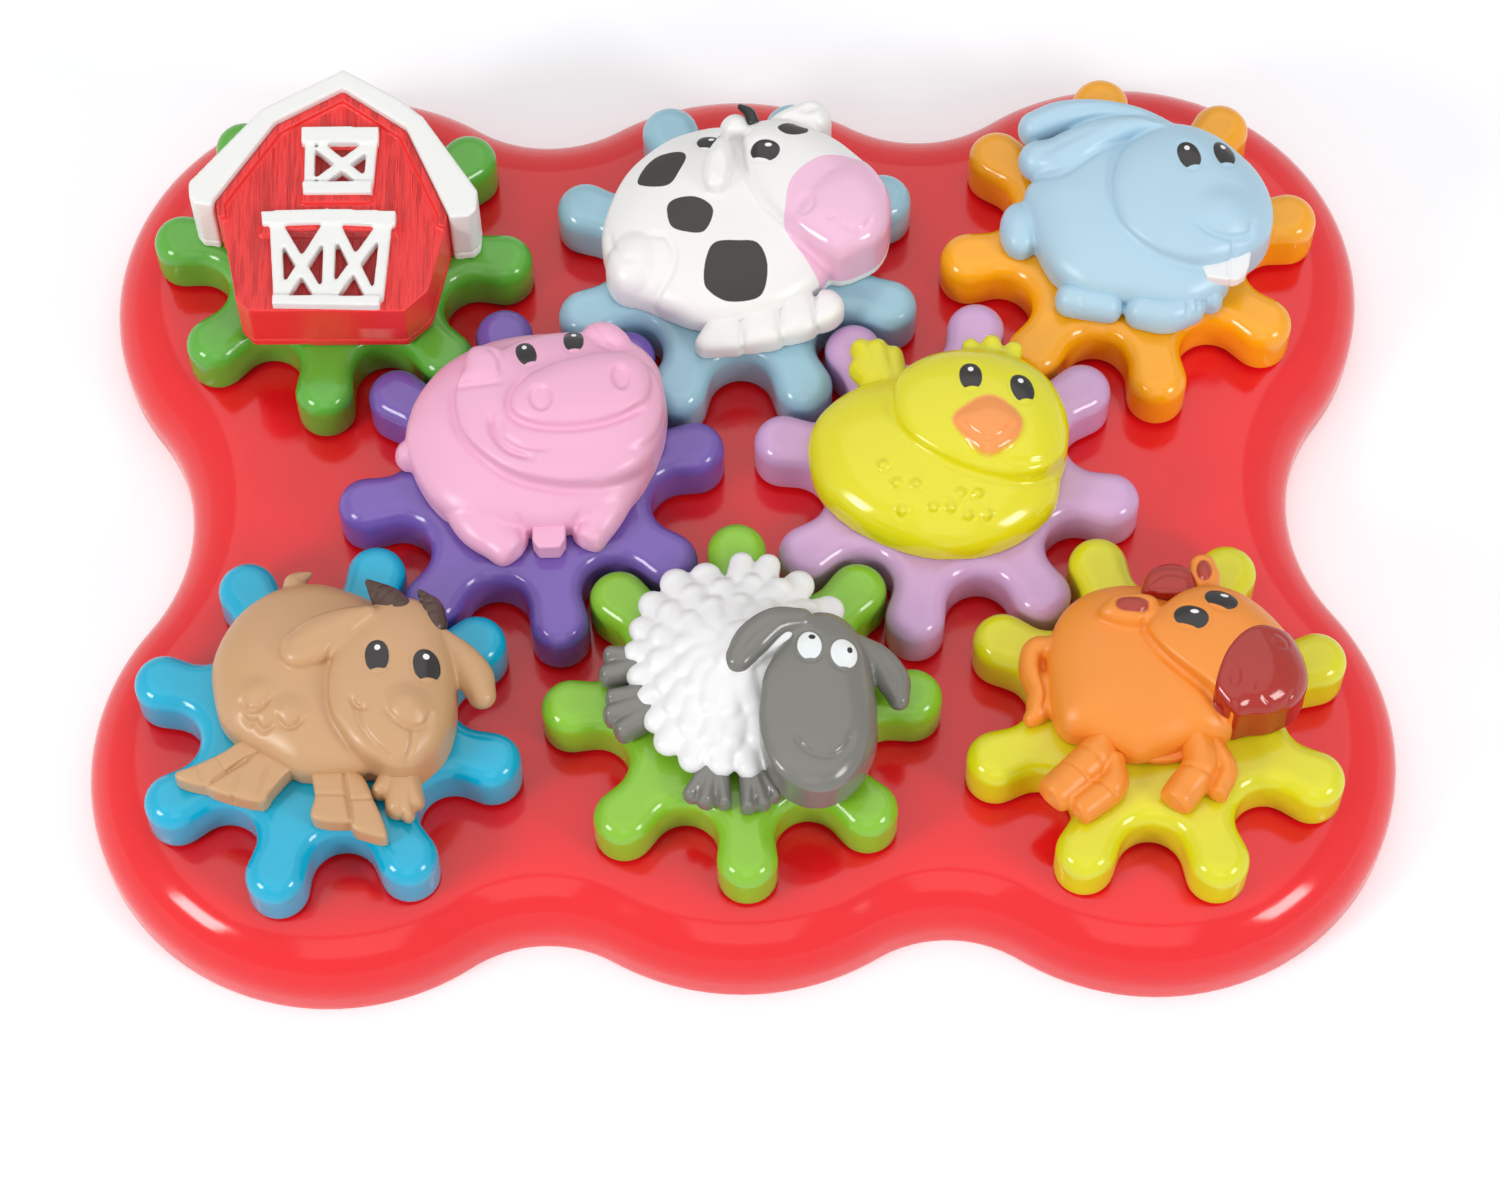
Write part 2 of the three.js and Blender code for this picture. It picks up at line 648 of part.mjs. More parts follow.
const figures = {
  barn: { make: makeBarn, colour: 'barnRed', seat: 'barn_back', inserts: [['barn_roof', 'white']] },
  cow: { forms: cowShares, colour: 'white', seat: 'cow_peg' },
  rabbit: { forms: rabbitShares, colour: 'rabbitBlue', seat: 'rabbit_peg' },
  pig: { forms: pigShares, colour: 'pigPink', seat: 'pig_peg' },
  chick: { forms: chickShares, colour: 'chickYellow', seat: 'chick_peg' },
  goat: { forms: goatShares, colour: 'goatTan', seat: 'goat_peg' },
  sheep: {
    forms: fleeceForms(),
    colour: 'fleece',
    seat: 'sheep_peg',
    insertForms: sheepHeadShares,
    inserts: [['sheep_head', 'sheepGrey']],
  },
  horse: {
    forms: horseShares,
    colour: 'horseOrange',
    seat: 'horse_peg',
    insertForms: horseMuzzleShares,
    inserts: [['horse_muzzle', 'muzzleBrown']],
  },
};

// Assembly

const toy = new THREE.Group();

function place(parent, name, geometry, colour) {
  const [color, roughness] = plastic[colour];
  const mesh = new THREE.Mesh(geometry, new THREE.MeshStandardMaterial({ color, roughness, metalness: 0 }));
  mesh.name = name;
  parent.add(mesh);
  return mesh;
}

place(toy, 'base_top', toGeometry(makeBoard()), 'red');
place(toy, 'base_cover', toGeometry(makeCover()), 'coverRed');
screwPlaces.forEach(([x, y], i) => {
  place(toy, `cover_screw_${i + 1}`, toGeometry(makeScrew(0, 0)), 'steel').position.set(x, y, 0);
});

const gearGeometry = toGeometry(makeGear());
const retainerGeometry = toGeometry(makeRetainer(0, 0));
for (const { figure, gear, x, y, phase } of stations) {
  const station = new THREE.Group();
  station.position.set(x, y, 0);
  toy.add(station);
  place(station, `${figure}_gear`, gearGeometry.clone(), gear).rotation.z = phase;
  place(station, `${figure}_gear_retainer`, retainerGeometry.clone(), 'white');
  const { make, forms, insertForms, colour, seat, inserts = [] } = figures[figure];
  const pieces = make ? make(phase) : makeAnimal(forms, phase, insertForms);
  place(station, `${figure}_front`, toGeometry(pieces.front), colour);
  place(station, seat, toGeometry(pieces.back), colour);
  inserts.forEach(([name, insertColour], i) => {
    place(station, name, toGeometry(pieces.inserts[i]), insertColour);
  });
}

export default toy;
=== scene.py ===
# Spinning puzzle toy: the finished surfaces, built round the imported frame. Metres, +Z up.
import json
import math

import bpy
import numpy as np
from mathutils import Matrix, Vector
from mathutils.geometry import tessellate_polygon


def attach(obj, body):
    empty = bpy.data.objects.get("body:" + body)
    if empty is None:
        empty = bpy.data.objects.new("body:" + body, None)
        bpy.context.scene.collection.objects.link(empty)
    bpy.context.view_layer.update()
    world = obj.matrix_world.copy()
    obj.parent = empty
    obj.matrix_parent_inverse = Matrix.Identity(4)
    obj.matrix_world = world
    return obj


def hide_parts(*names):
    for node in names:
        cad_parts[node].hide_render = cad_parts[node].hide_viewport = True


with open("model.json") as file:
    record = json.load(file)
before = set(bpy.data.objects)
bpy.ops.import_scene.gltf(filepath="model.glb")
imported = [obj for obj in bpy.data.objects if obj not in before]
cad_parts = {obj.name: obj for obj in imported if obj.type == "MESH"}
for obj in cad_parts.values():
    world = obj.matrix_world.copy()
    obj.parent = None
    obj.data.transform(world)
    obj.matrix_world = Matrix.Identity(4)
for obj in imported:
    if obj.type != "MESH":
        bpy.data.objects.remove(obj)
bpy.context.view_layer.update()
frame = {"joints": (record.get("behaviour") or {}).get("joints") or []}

mm = 0.001
pi = math.pi

# Sizes shared by the pieces, in millimetres
toy = {
    "teeth": 8,
    "gearLow": 26.0,
    "gearHigh": 41.5,
    "figureLow": 41.8,
    "socketFloor": 33.5,
    "socketRadius": 15.0,
    "boreRadius": 6.3,
}

# Which colour each gear has, and how far its teeth are turned, in degrees
stations = {
    "pig": {"gear": "gear_purple", "turn": 10.125},
    "cow": {"gear": "gear_sky_blue", "turn": 23.6},
    "sheep": {"gear": "gear_lime", "turn": 1.1},
    "barn": {"gear": "gear_green", "turn": 40.1},
    "goat": {"gear": "gear_cyan", "turn": 29.65},
    "chick": {"gear": "gear_lilac", "turn": 32.6},
    "rabbit": {"gear": "gear_orange", "turn": 7.2},
    "horse": {"gear": "gear_yellow", "turn": 17.6},
}
for joint in frame["joints"]:
    if joint["name"].endswith("_spin"):
        stations[joint["name"][:-5]]["centre"] = [value / mm for value in joint["pos_m"][:2]]


# Meshes


def putMesh(name, points, quads, triangles=()):
    # Points in millimetres go into a mesh in metres, with its faces as whole index arrays
    quads = np.asarray(quads, dtype=np.int32).reshape(-1, 4)
    triangles = np.asarray(triangles, dtype=np.int32).reshape(-1, 3)
    mesh = bpy.data.meshes.new(name)
    mesh.vertices.add(len(points))
    mesh.vertices.foreach_set("co", (np.asarray(points) * mm).astype(np.float32).ravel())
    corners = np.concatenate([quads.ravel(), triangles.ravel()])
    mesh.loops.add(len(corners))
    mesh.loops.foreach_set("vertex_index", corners)
    starts = np.concatenate([np.arange(len(quads)) * 4, len(quads) * 4 + np.arange(len(triangles)) * 3])
    mesh.polygons.add(len(starts))
    mesh.polygons.foreach_set("loop_start", starts.astype(np.int32))
    mesh.polygons.foreach_set("use_smooth", np.ones(len(starts), dtype=bool))
    mesh.update(calc_edges=True)
    mesh.validate()
    piece = bpy.data.objects.new(name, mesh)
    bpy.context.scene.collection.objects.link(piece)
    return piece


def ringQuads(levels, around):
    # Quad (row, column) joins ring row to the next ring and column to the next column round the ring
    rows = np.arange(levels - 1)[:, None]
    columns = np.arange(around)[None, :]
    beside = (columns + 1) % around
    here, over = rows * around, (rows + 1) * around
    return np.stack([here + columns, here + beside, over + beside, over + columns], -1).reshape(-1, 4)


def ringArrays(rings, low=None, high=None):
    # Rings run counter-clockwise and rise outside; a low or high point closes an end with a fan
    rings = np.asarray(rings, dtype=float)
    levels, around = rings.shape[:2]
    points = [rings.reshape(-1, 3)]
    quads = ringQuads(levels, around)
    columns = np.arange(around)
    beside = (columns + 1) % around
    fans = []
    if low is not None:
        fans.append(np.stack([beside, columns, np.full(around, levels * around)], -1))
        points.append(np.array([low], dtype=float))
    if high is not None:
        last = (levels - 1) * around
        tip = levels * around + (low is not None)
        fans.append(np.stack([last + columns, last + beside, np.full(around, tip)], -1))
        points.append(np.array([high], dtype=float))
    return np.concatenate(points), quads, np.concatenate(fans) if fans else np.zeros((0, 3), dtype=int)


def joinArrays(parts):
    # Several (points, quads, triangles) sets as one, each set's indices moved past those before it
    points, quads, triangles, before = [], [], [], 0
    for partPoints, partQuads, partTriangles in parts:
        points.append(partPoints)
        quads.append(np.asarray(partQuads).reshape(-1, 4) + before)
        triangles.append(np.asarray(partTriangles).reshape(-1, 3) + before)
        before += len(partPoints)
    return np.concatenate(points), np.concatenate(quads), np.concatenate(triangles)


def lift(outline, z):
    # A flat outline at a height
    return np.column_stack([outline, np.full(len(outline), float(z))])


def arc(x, y, radius, start, end, steps):
    # The centre plus the radius times the cosine and sine of an angle that goes evenly from start to end
    angle = np.linspace(start, end, steps)
    return np.column_stack([x + radius * np.cos(angle), y + radius * np.sin(angle)])


def turnPoints(points, degrees):
    # Counter-clockwise about the origin
    angle = math.radians(degrees)
    turn = np.array([[math.cos(angle), math.sin(angle)], [-math.sin(angle), math.cos(angle)]])
    return np.asarray(points, dtype=float) @ turn


def circleRing(radius, angles, z, x=0.0, y=0.0):
    # A point at each angle of a circle, at one height or at a height for each
    heights = np.broadcast_to(np.asarray(z, dtype=float), len(angles))
    return np.column_stack([x + radius * np.cos(angles), y + radius * np.sin(angles), heights])


def turnedSolid(profile, x, y, around):
    # A profile of (radius, height) turned round an upright axis, closed at both ends on the axis
    angles = np.linspace(0, 2 * pi, around, endpoint=False)
    rings = [circleRing(radius, angles, z, x, y) for radius, z in profile]
    return ringArrays(rings, low=(x, y, profile[0][1]), high=(x, y, profile[-1][1]))


def roundProfile(outline, inset, z, radius, steps):
    # Rings over a round edge: the inset grows by the radius times 1 - cos, the height by the radius times sin
    return [lift(outline(inset + radius * (1 - math.cos(a))), z + radius * math.sin(a))
            for a in np.linspace(0, pi / 2, steps)]


def flatFill(*loops):
    # Triangles over a flat field with holes, all facing up; indices run on from the outer loop to inner ones
    lines = [[Vector((*point[:2], 0)) for point in loop] for loop in loops]
    fill = np.array(tessellate_polygon(lines), dtype=int)
    flat = np.concatenate(loops)[:, :2]
    one, two = flat[fill[:, 1]] - flat[fill[:, 0]], flat[fill[:, 2]] - flat[fill[:, 0]]
    turned = one[:, 0] * two[:, 1] < one[:, 1] * two[:, 0]
    fill[turned] = fill[turned][:, ::-1]
    return fill


def bakeModifiers(piece):
    # The shape after its modifiers becomes the piece's own mesh
    mesh = bpy.data.meshes.new_from_object(piece.evaluated_get(bpy.context.evaluated_depsgraph_get()))
    piece.modifiers.clear()
    piece.data = mesh


def finish(piece, body, slot, nodes=(), material=None):
    # Every piece rides on a body, has a slot, and takes the place of the nodes that it shows
    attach(piece, body)
    if nodes:
        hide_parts(*nodes)
    piece.data.materials.append(material or materials[slot])
    return piece


# Materials

textures = {
    "driftScale": 14, "smearScale": 90, "smearDetail": 4, "rippleScale": 420, "rippleDepth": 0.0004,
    "raggedScale": 900,
    "waves": (420, 26, 140), "pores": (1300, 60, 420), "grainDetail": 3, "poreShare": 0.6,
    "grainDepth": 0.0022, "grainFrom": 0.75, "grainFull": 0.98, "grainStrength": 0.8, "grainLevel": 0.78,
    # Painted shade in the grain's grooves: its darker red, the shortfall at which it is strongest, and its
    # largest share
    "grooveShade": [0.72, 0.12, 0.12], "grooveShadeDepth": 0.08, "grooveShadeMost": 0.65,
}


def nodeGroup(name, inputs, outputs):
    group = bpy.data.node_groups.new(name, "ShaderNodeTree")
    for label, kind in inputs:
        group.interface.new_socket(label, in_out="INPUT", socket_type=kind)
    for label, kind in outputs:
        group.interface.new_socket(label, in_out="OUTPUT", socket_type=kind)
    return group, group.nodes.new("NodeGroupInput").outputs, group.nodes.new("NodeGroupOutput").inputs


def addNode(tree, kind, inputs=(), **settings):
    # Settings come first, because they can change the sockets; an input is a number or another node's output
    node = tree.nodes.new(kind)
    for label, value in settings.items():
        setattr(node, label, value)
    for label, value in dict(inputs).items():
        if isinstance(value, bpy.types.NodeSocket):
            tree.links.new(value, node.inputs[label])
        else:
            node.inputs[label].default_value = value
    return node


def objectPlace(tree):
    return addNode(tree, "ShaderNodeTexCoord").outputs["Object"]


def noise(tree, place, scale, detail=2):
    inputs = {"Vector": place, "Scale": scale, "Detail": detail}
    return addNode(tree, "ShaderNodeTexNoise", inputs).outputs["Fac"]


def combine(tree, operation, *values):
    # Math on two values, or on three where it multiplies and adds
    return addNode(tree, "ShaderNodeMath", enumerate(values), operation=operation).outputs[0]


def ramp(tree, value, low, high, start=0, end=1, **settings):
    # The result goes from start to end while the value goes from low to high
    inputs = {"Value": value, "From Min": low, "From Max": high, "To Min": start, "To Max": end}
    return addNode(tree, "ShaderNodeMapRange", inputs, **settings).outputs["Result"]


def mixColour(tree, share, first, second):
    return addNode(tree, "ShaderNodeMix", {0: share, 6: first, 7: second}, data_type="RGBA").outputs[2]


def makeMouldGroup():
    # Colour drifts a little over the moulding, roughness follows fine smears, and the skin has a faint ripple
    group, given, result = nodeGroup(
        "mouldedSkin",
        [("Colour", "NodeSocketColor"), ("Deep", "NodeSocketColor"), ("Roughness", "NodeSocketFloat"),
         ("Smear", "NodeSocketFloat"), ("Ripple", "NodeSocketFloat")],
        [("Colour", "NodeSocketColor"), ("Roughness", "NodeSocketFloat"), ("Normal", "NodeSocketVector")])
    place = objectPlace(group)
    drift = noise(group, place, textures["driftScale"])
    smear = noise(group, place, textures["smearScale"], textures["smearDetail"])
    bump = addNode(group, "ShaderNodeBump", {
        "Height": noise(group, place, textures["rippleScale"]), "Strength": given["Ripple"],
        "Distance": textures["rippleDepth"]})
    rough = combine(group, "MULTIPLY_ADD", smear, given["Smear"], given["Roughness"])
    group.links.new(mixColour(group, drift, given["Colour"], given["Deep"]), result["Colour"])
    group.links.new(rough, result["Roughness"])
    group.links.new(bump.outputs["Normal"], result["Normal"])
    return group


def makePaintGroup():
    # A mask that is 1 where the stored distance lies inside a print: the distance, shaken by a fine noise,
    # goes from minus to plus the softness
    group, given, result = nodeGroup(
        "printedEdge",
        [("Distance", "NodeSocketFloat"), ("Soft", "NodeSocketFloat")],
        [("Mask", "NodeSocketFloat")])
    ragged = combine(group, "SUBTRACT", noise(group, objectPlace(group), textures["raggedScale"]), 0.5)
    shaken = combine(group, "MULTIPLY_ADD", ragged, given["Soft"], given["Distance"])
    lower = combine(group, "MULTIPLY", given["Soft"], -1)
    mask = ramp(group, shaken, lower, given["Soft"], interpolation_type="SMOOTHSTEP")
    group.links.new(mask, result["Mask"])
    return group


def makeGrainGroup():
    # Wood grain: two noises drawn out along Y, a coarse one for the waves and a fine one for the pores, are
    # summed, and fade out where the surface turns away from straight up. The shade is how far the sum falls
    # short of a level; it is painted in as shade that darkens the grain's grooves.
    group, given, result = nodeGroup(
        "woodGrain",
        [("Normal", "NodeSocketVector")],
        [("Normal", "NodeSocketVector"), ("Shade", "NodeSocketFloat")])
    place = objectPlace(group)
    layers = []
    for label in ("waves", "pores"):
        drawn = addNode(group, "ShaderNodeMapping", {"Vector": place, "Scale": textures[label]})
        layers.append(noise(group, drawn.outputs["Vector"], 1, textures["grainDetail"]))
    total = combine(group, "MULTIPLY_ADD", layers[1], textures["poreShare"], layers[0])
    facing = addNode(group, "ShaderNodeNewGeometry").outputs["Normal"]
    rise = addNode(group, "ShaderNodeSeparateXYZ", {0: facing}).outputs["Z"]
    upward = ramp(group, rise, textures["grainFrom"], textures["grainFull"], 0, textures["grainStrength"])
    bump = addNode(group, "ShaderNodeBump", {
        "Strength": upward, "Distance": textures["grainDepth"], "Height": total, "Normal": given["Normal"]})
    streak = combine(group, "SUBTRACT", textures["grainLevel"], total)
    group.links.new(bump.outputs["Normal"], result["Normal"])
    group.links.new(combine(group, "MULTIPLY", streak, upward), result["Shade"])
    return group


mouldGroup = makeMouldGroup()
paintGroup = makePaintGroup()
grainGroup = makeGrainGroup()


def linear(colour):
    # A colour as it shows on a screen, written as light: below 0.04045 by 12.92, else
    # ((c + 0.055) / 1.055) ^ 2.4
    colour = np.asarray(colour, dtype=float)
    light = np.where(colour <= 0.04045, colour / 12.92, ((colour + 0.055) / 1.055) ** 2.4)
    return (*light, 1.0)


# Finish of each slot and of a few small pieces: colour, the deeper colour it drifts to, roughness, smears and
# ripple
finishes = {
    "board_red": ([0.93, 0.10, 0.13], [0.92, 0.08, 0.11], 0.10, 0.06, 0.05),
    "cover_red": ([0.84, 0.12, 0.14], [0.80, 0.10, 0.12], 0.35, 0.10, 0.12),
    "retainer_white": ([0.90, 0.90, 0.88], [0.87, 0.87, 0.84], 0.35, 0.10, 0.10),
    "gear_green": ([0.38, 0.70, 0.22], [0.34, 0.66, 0.20], 0.12, 0.06, 0.05),
    "gear_sky_blue": ([0.62, 0.78, 0.84], [0.58, 0.75, 0.82], 0.12, 0.06, 0.05),
    "gear_orange": ([0.99, 0.69, 0.06], [0.98, 0.64, 0.05], 0.12, 0.06, 0.05),
    "gear_purple": ([0.47, 0.36, 0.70], [0.44, 0.33, 0.66], 0.12, 0.06, 0.05),
    "gear_lilac": ([0.82, 0.66, 0.83], [0.79, 0.62, 0.80], 0.12, 0.06, 0.05),
    "gear_cyan": ([0.04, 0.70, 0.84], [0.03, 0.66, 0.81], 0.12, 0.06, 0.05),
    "gear_lime": ([0.56, 0.78, 0.20], [0.50, 0.74, 0.17], 0.12, 0.06, 0.05),
    "gear_yellow": ([0.88, 0.87, 0.10], [0.85, 0.83, 0.08], 0.12, 0.06, 0.05),
    "barn_red": ([0.94, 0.23, 0.22], [0.92, 0.19, 0.19], 0.30, 0.12, 0.14),
    "trim_white": ([0.95, 0.95, 0.94], [0.93, 0.93, 0.92], 0.30, 0.10, 0.10),
    "cow_white": ([0.95, 0.945, 0.94], [0.93, 0.925, 0.92], 0.26, 0.10, 0.08),
    "rabbit_blue": ([0.70, 0.83, 0.90], [0.67, 0.80, 0.88], 0.28, 0.10, 0.08),
    "pig_pink": ([0.94, 0.70, 0.82], [0.92, 0.67, 0.79], 0.28, 0.10, 0.08),
    "chick_yellow": ([0.90, 0.88, 0.11], [0.88, 0.84, 0.08], 0.12, 0.06, 0.05),
    "goat_tan": ([0.80, 0.63, 0.46], [0.77, 0.60, 0.43], 0.28, 0.10, 0.08),
    "fleece_white": ([0.94, 0.94, 0.94], [0.92, 0.92, 0.92], 0.32, 0.10, 0.08),
    "sheep_grey": ([0.49, 0.485, 0.46], [0.46, 0.455, 0.43], 0.14, 0.08, 0.05),
    "horse_orange": ([0.94, 0.58, 0.20], [0.92, 0.54, 0.17], 0.32, 0.10, 0.10),
    "muzzle_brown": ([0.70, 0.15, 0.09], [0.62, 0.11, 0.06], 0.08, 0.05, 0.05),
    "horn_black": ([0.05, 0.045, 0.04], [0.07, 0.06, 0.055], 0.18, 0.08, 0.05),
    "horn_brown": ([0.31, 0.20, 0.15], [0.24, 0.14, 0.10], 0.25, 0.10, 0.12),
    "tooth_white": ([0.95, 0.95, 0.95], [0.93, 0.93, 0.93], 0.20, 0.08, 0.05),
}


def plastic(look, paints=(), name=None, grain=False):
    # Moulded plastic; each paint is (layer, colour, roughness, softness of its edge in mm), over those before
    colour, deep, roughness, smear, ripple = finishes[look]
    material = bpy.data.materials.new(name or look)
    material.use_nodes = True
    tree = material.node_tree
    inputs = {"Colour": linear(colour), "Deep": linear(deep), "Roughness": roughness, "Smear": smear,
              "Ripple": ripple}
    skin = addNode(tree, "ShaderNodeGroup", inputs, node_tree=mouldGroup)
    shown, rough, normal = (skin.outputs[label] for label in ("Colour", "Roughness", "Normal"))
    if grain:
        # The grain bumps the surface, and its grooves get a painted shade of darker red
        wood = addNode(tree, "ShaderNodeGroup", {"Normal": normal}, node_tree=grainGroup)
        grooveShaded = ramp(tree, wood.outputs["Shade"], 0, textures["grooveShadeDepth"], 0, textures["grooveShadeMost"])
        shown = mixColour(tree, grooveShaded, shown, linear(textures["grooveShade"]))
        normal = wood.outputs["Normal"]
    for layer, paintColour, paintRough, soft in paints:
        stored = addNode(tree, "ShaderNodeAttribute", attribute_name=layer).outputs["Fac"]
        edge = addNode(tree, "ShaderNodeGroup", {"Distance": stored, "Soft": soft}, node_tree=paintGroup)
        shown = mixColour(tree, edge.outputs["Mask"], shown, linear(paintColour))
        rough = addNode(tree, "ShaderNodeMix", {0: edge.outputs["Mask"], 2: rough, 3: paintRough}).outputs[0]
    shader = tree.nodes["Principled BSDF"]
    shader.inputs["IOR"].default_value = 1.5
    tree.links.new(shown, shader.inputs["Base Color"])
    tree.links.new(rough, shader.inputs["Roughness"])
    tree.links.new(normal, shader.inputs["Normal"])
    return material


zinc = {"colour": [0.72, 0.72, 0.70], "markScale": 900, "smoothest": 0.22, "roughest": 0.42}


def steel(slot):
    # Zinc-plated steel with fine turning marks in its roughness
    material = bpy.data.materials.new(slot)
    material.use_nodes = True
    tree = material.node_tree
    shader = tree.nodes["Principled BSDF"]
    shader.inputs["Base Color"].default_value = linear(zinc["colour"])
    shader.inputs["Metallic"].default_value = 1
    marks = noise(tree, objectPlace(tree), zinc["markScale"])
    tree.links.new(ramp(tree, marks, 0, 1, zinc["smoothest"], zinc["roughest"]), shader.inputs["Roughness"])
    return material


materials = {slot: plastic(slot) for slot in finishes}
materials["screw_steel"] = steel("screw_steel")
print("materials made")


# Gears

gear = {
    "tip": 52.2, "endRadius": 7.84, "valleyReach": 41.5, "valleyRadius": 8.6, "arcSteps": 10, "flankSteps": 7,
    "topRound": 5.0, "footRound": 0.7, "topWall": 3.0, "rimWall": 2.6, "hubRadius": 17.6, "lipRound": 0.7,
    "hexRound": 0.8, "bevel": 0.3, "rimBevel": 0.4, "flatEdge": 0.5,
    "footSteps": 4, "topSteps": 12, "wallShares": (0.35, 0.7),
}


def gearOutline(inset):
    # Half a tooth is an arc round its end, a straight flank and an arc round the valley, all touching; it is
    # mirrored and turned by one pitch for each tooth. An inset shrinks the end's radius, widens the valley's.
    pitch = 2 * pi / toy["teeth"]
    end = gear["endRadius"] - inset
    valley = gear["valleyRadius"] + inset
    endX = gear["tip"] - gear["endRadius"]
    valleyX = gear["valleyReach"] * math.cos(pitch / 2)
    valleyY = gear["valleyReach"] * math.sin(pitch / 2)
    reach = math.hypot(valleyX - endX, valleyY)
    lean = math.atan2(valleyY, valleyX - endX) - math.acos((end + valley) / reach)
    tipArc = arc(endX, 0, end, 0, lean, gear["arcSteps"])
    valleyArc = arc(valleyX, valleyY, valley, lean + pi, pi + pitch / 2, gear["arcSteps"])
    share = np.linspace(0, 1, gear["flankSteps"])[1:-1, None]
    flank = tipArc[-1] * (1 - share) + valleyArc[0] * share
    half = np.concatenate([tipArc, flank, valleyArc])
    mirror = half[1:-1][::-1]
    mirror = np.column_stack([
        mirror[:, 0] * math.cos(pitch) + mirror[:, 1] * math.sin(pitch),
        mirror[:, 0] * math.sin(pitch) - mirror[:, 1] * math.cos(pitch)])
    tooth = np.concatenate([half, mirror])
    return np.concatenate([turnPoints(tooth, i * 360 / toy["teeth"]) for i in range(toy["teeth"])])


def hexRing(radius, angles, z, round=0.0):
    # Distance to a hexagon's side at an angle: the flat distance over the cosine of the angle from its
    # middle, and no more at a corner than the radius less its rounding
    flat = radius * math.cos(pi / 6)
    off = (angles % (pi / 3)) - pi / 6
    reach = np.minimum(flat / np.cos(off), radius - round)
    return np.column_stack([reach * np.cos(angles), reach * np.sin(angles), np.full(len(angles), float(z))])


def gearRings():
    # A profile carried round the outline: from the socket's mouth down the socket and the bore, back under
    # the hub and the rim, up the wall and over the round edge
    outer = gearOutline(0)
    angles = np.arctan2(outer[:, 1], outer[:, 0])
    low, high, floor = toy["gearLow"], toy["gearHigh"], toy["socketFloor"]
    socket, bore, hub = toy["socketRadius"], toy["boreRadius"], gear["hubRadius"]
    lip, top, foot = gear["lipRound"], gear["topRound"], gear["footRound"]
    bevel, rimBevel = gear["bevel"], gear["rimBevel"]
    webHigh = high - gear["topWall"]
    root = gear["valleyReach"] - gear["valleyRadius"] - gear["rimWall"]
    quarter = np.linspace(0, pi / 2, gear["footSteps"])

    hexagons = [(socket + lip + gear["flatEdge"], high)]
    hexagons += [(socket + lip * (1 - math.sin(a)), high - lip * (1 - math.cos(a))) for a in quarter]
    hexagons += [(socket, floor + bevel), (socket - bevel, floor)]
    rings = [hexRing(radius, angles, z, gear["hexRound"]) for radius, z in hexagons]
    circles = [
        (bore + bevel, floor), (bore, floor - bevel), (bore, low + bevel), (bore + bevel, low),
        (hub - bevel, low), (hub, low + bevel), (hub, webHigh), (root, webHigh), (root, low + rimBevel),
        (root + rimBevel, low)]
    rings += [circleRing(radius, angles, z) for radius, z in circles]
    rings += [lift(gearOutline(foot * (1 - math.sin(a))), low + foot * (1 - math.cos(a))) for a in quarter]
    rings += [lift(outer, low + (high - low - top) * share) for share in gear["wallShares"]]
    rings += roundProfile(gearOutline, 0, high - top, top, gear["topSteps"])
    rings.append(lift(gearOutline(top + gear["flatEdge"]), high))
    return np.array(rings)


def makeGears():
    # One gear's rings serve all eight, turned and moved; the flat top is filled from tooth ends to socket
    rings = gearRings()
    around = rings.shape[1]
    fill = flatFill(rings[-1], rings[0])
    fill = np.where(fill < around, fill + (len(rings) - 1) * around, fill - around)
    for name, station in stations.items():
        points, quads, _ = ringArrays(rings)
        points[:, :2] = turnPoints(points[:, :2], station["turn"]) + station["centre"]
        piece = putMesh(name + "_gear_wheel", points, quads, fill)
        finish(piece, name + "_wheel", station["gear"], [name + "_gear"])
    print("gears made")


# Board

board = {
    "cornerLobe": 65.5, "middleLobe": 67.0, "notch": 35.0, "waist": 52.7, "lobeSteps": 56, "notchSteps": 30,
    "footSteps": 4, "edgeSteps": 26, "postAround": 72,
    "high": 24.5, "edgeRound": 18.0, "footRound": 0.8, "wall": 3.0, "coverSeat": 3.7, "wallBevel": 0.3,
    "topShares": (0.985, 0.94, 0.85, 0.7, 0.5, 0.3, 0.12), "underShares": (0.1, 0.4, 0.7, 0.9, 0.985),
    "post": [  # radius, height over the board: bearing ring with soft edges, shaft, and a chamfered end
        (13.0, -0.5), (12.2, 0.05), (11.4, 0.35), (11.0, 0.8), (10.6, 1.2), (6.6, 1.2), (6.0, 1.6),
        (6.0, 8.8), (5.6, 9.3), (3.0, 9.3),
    ],
}


def boardLobes():
    # Round the board from its front right: x and y, the lobe's radius, and the radius of the hollow after it
    cornerX, cornerY = stations["horse"]["centre"][0], -stations["horse"]["centre"][1]
    middleY = stations["cow"]["centre"][1]
    corner, middle, notch, waist = board["cornerLobe"], board["middleLobe"], board["notch"], board["waist"]
    return [
        (cornerX, -cornerY, corner, waist), (cornerX, cornerY, corner, notch), (0, middleY, middle, notch),
        (-cornerX, cornerY, corner, waist), (-cornerX, -cornerY, corner, notch), (0, -middleY, middle, notch)]


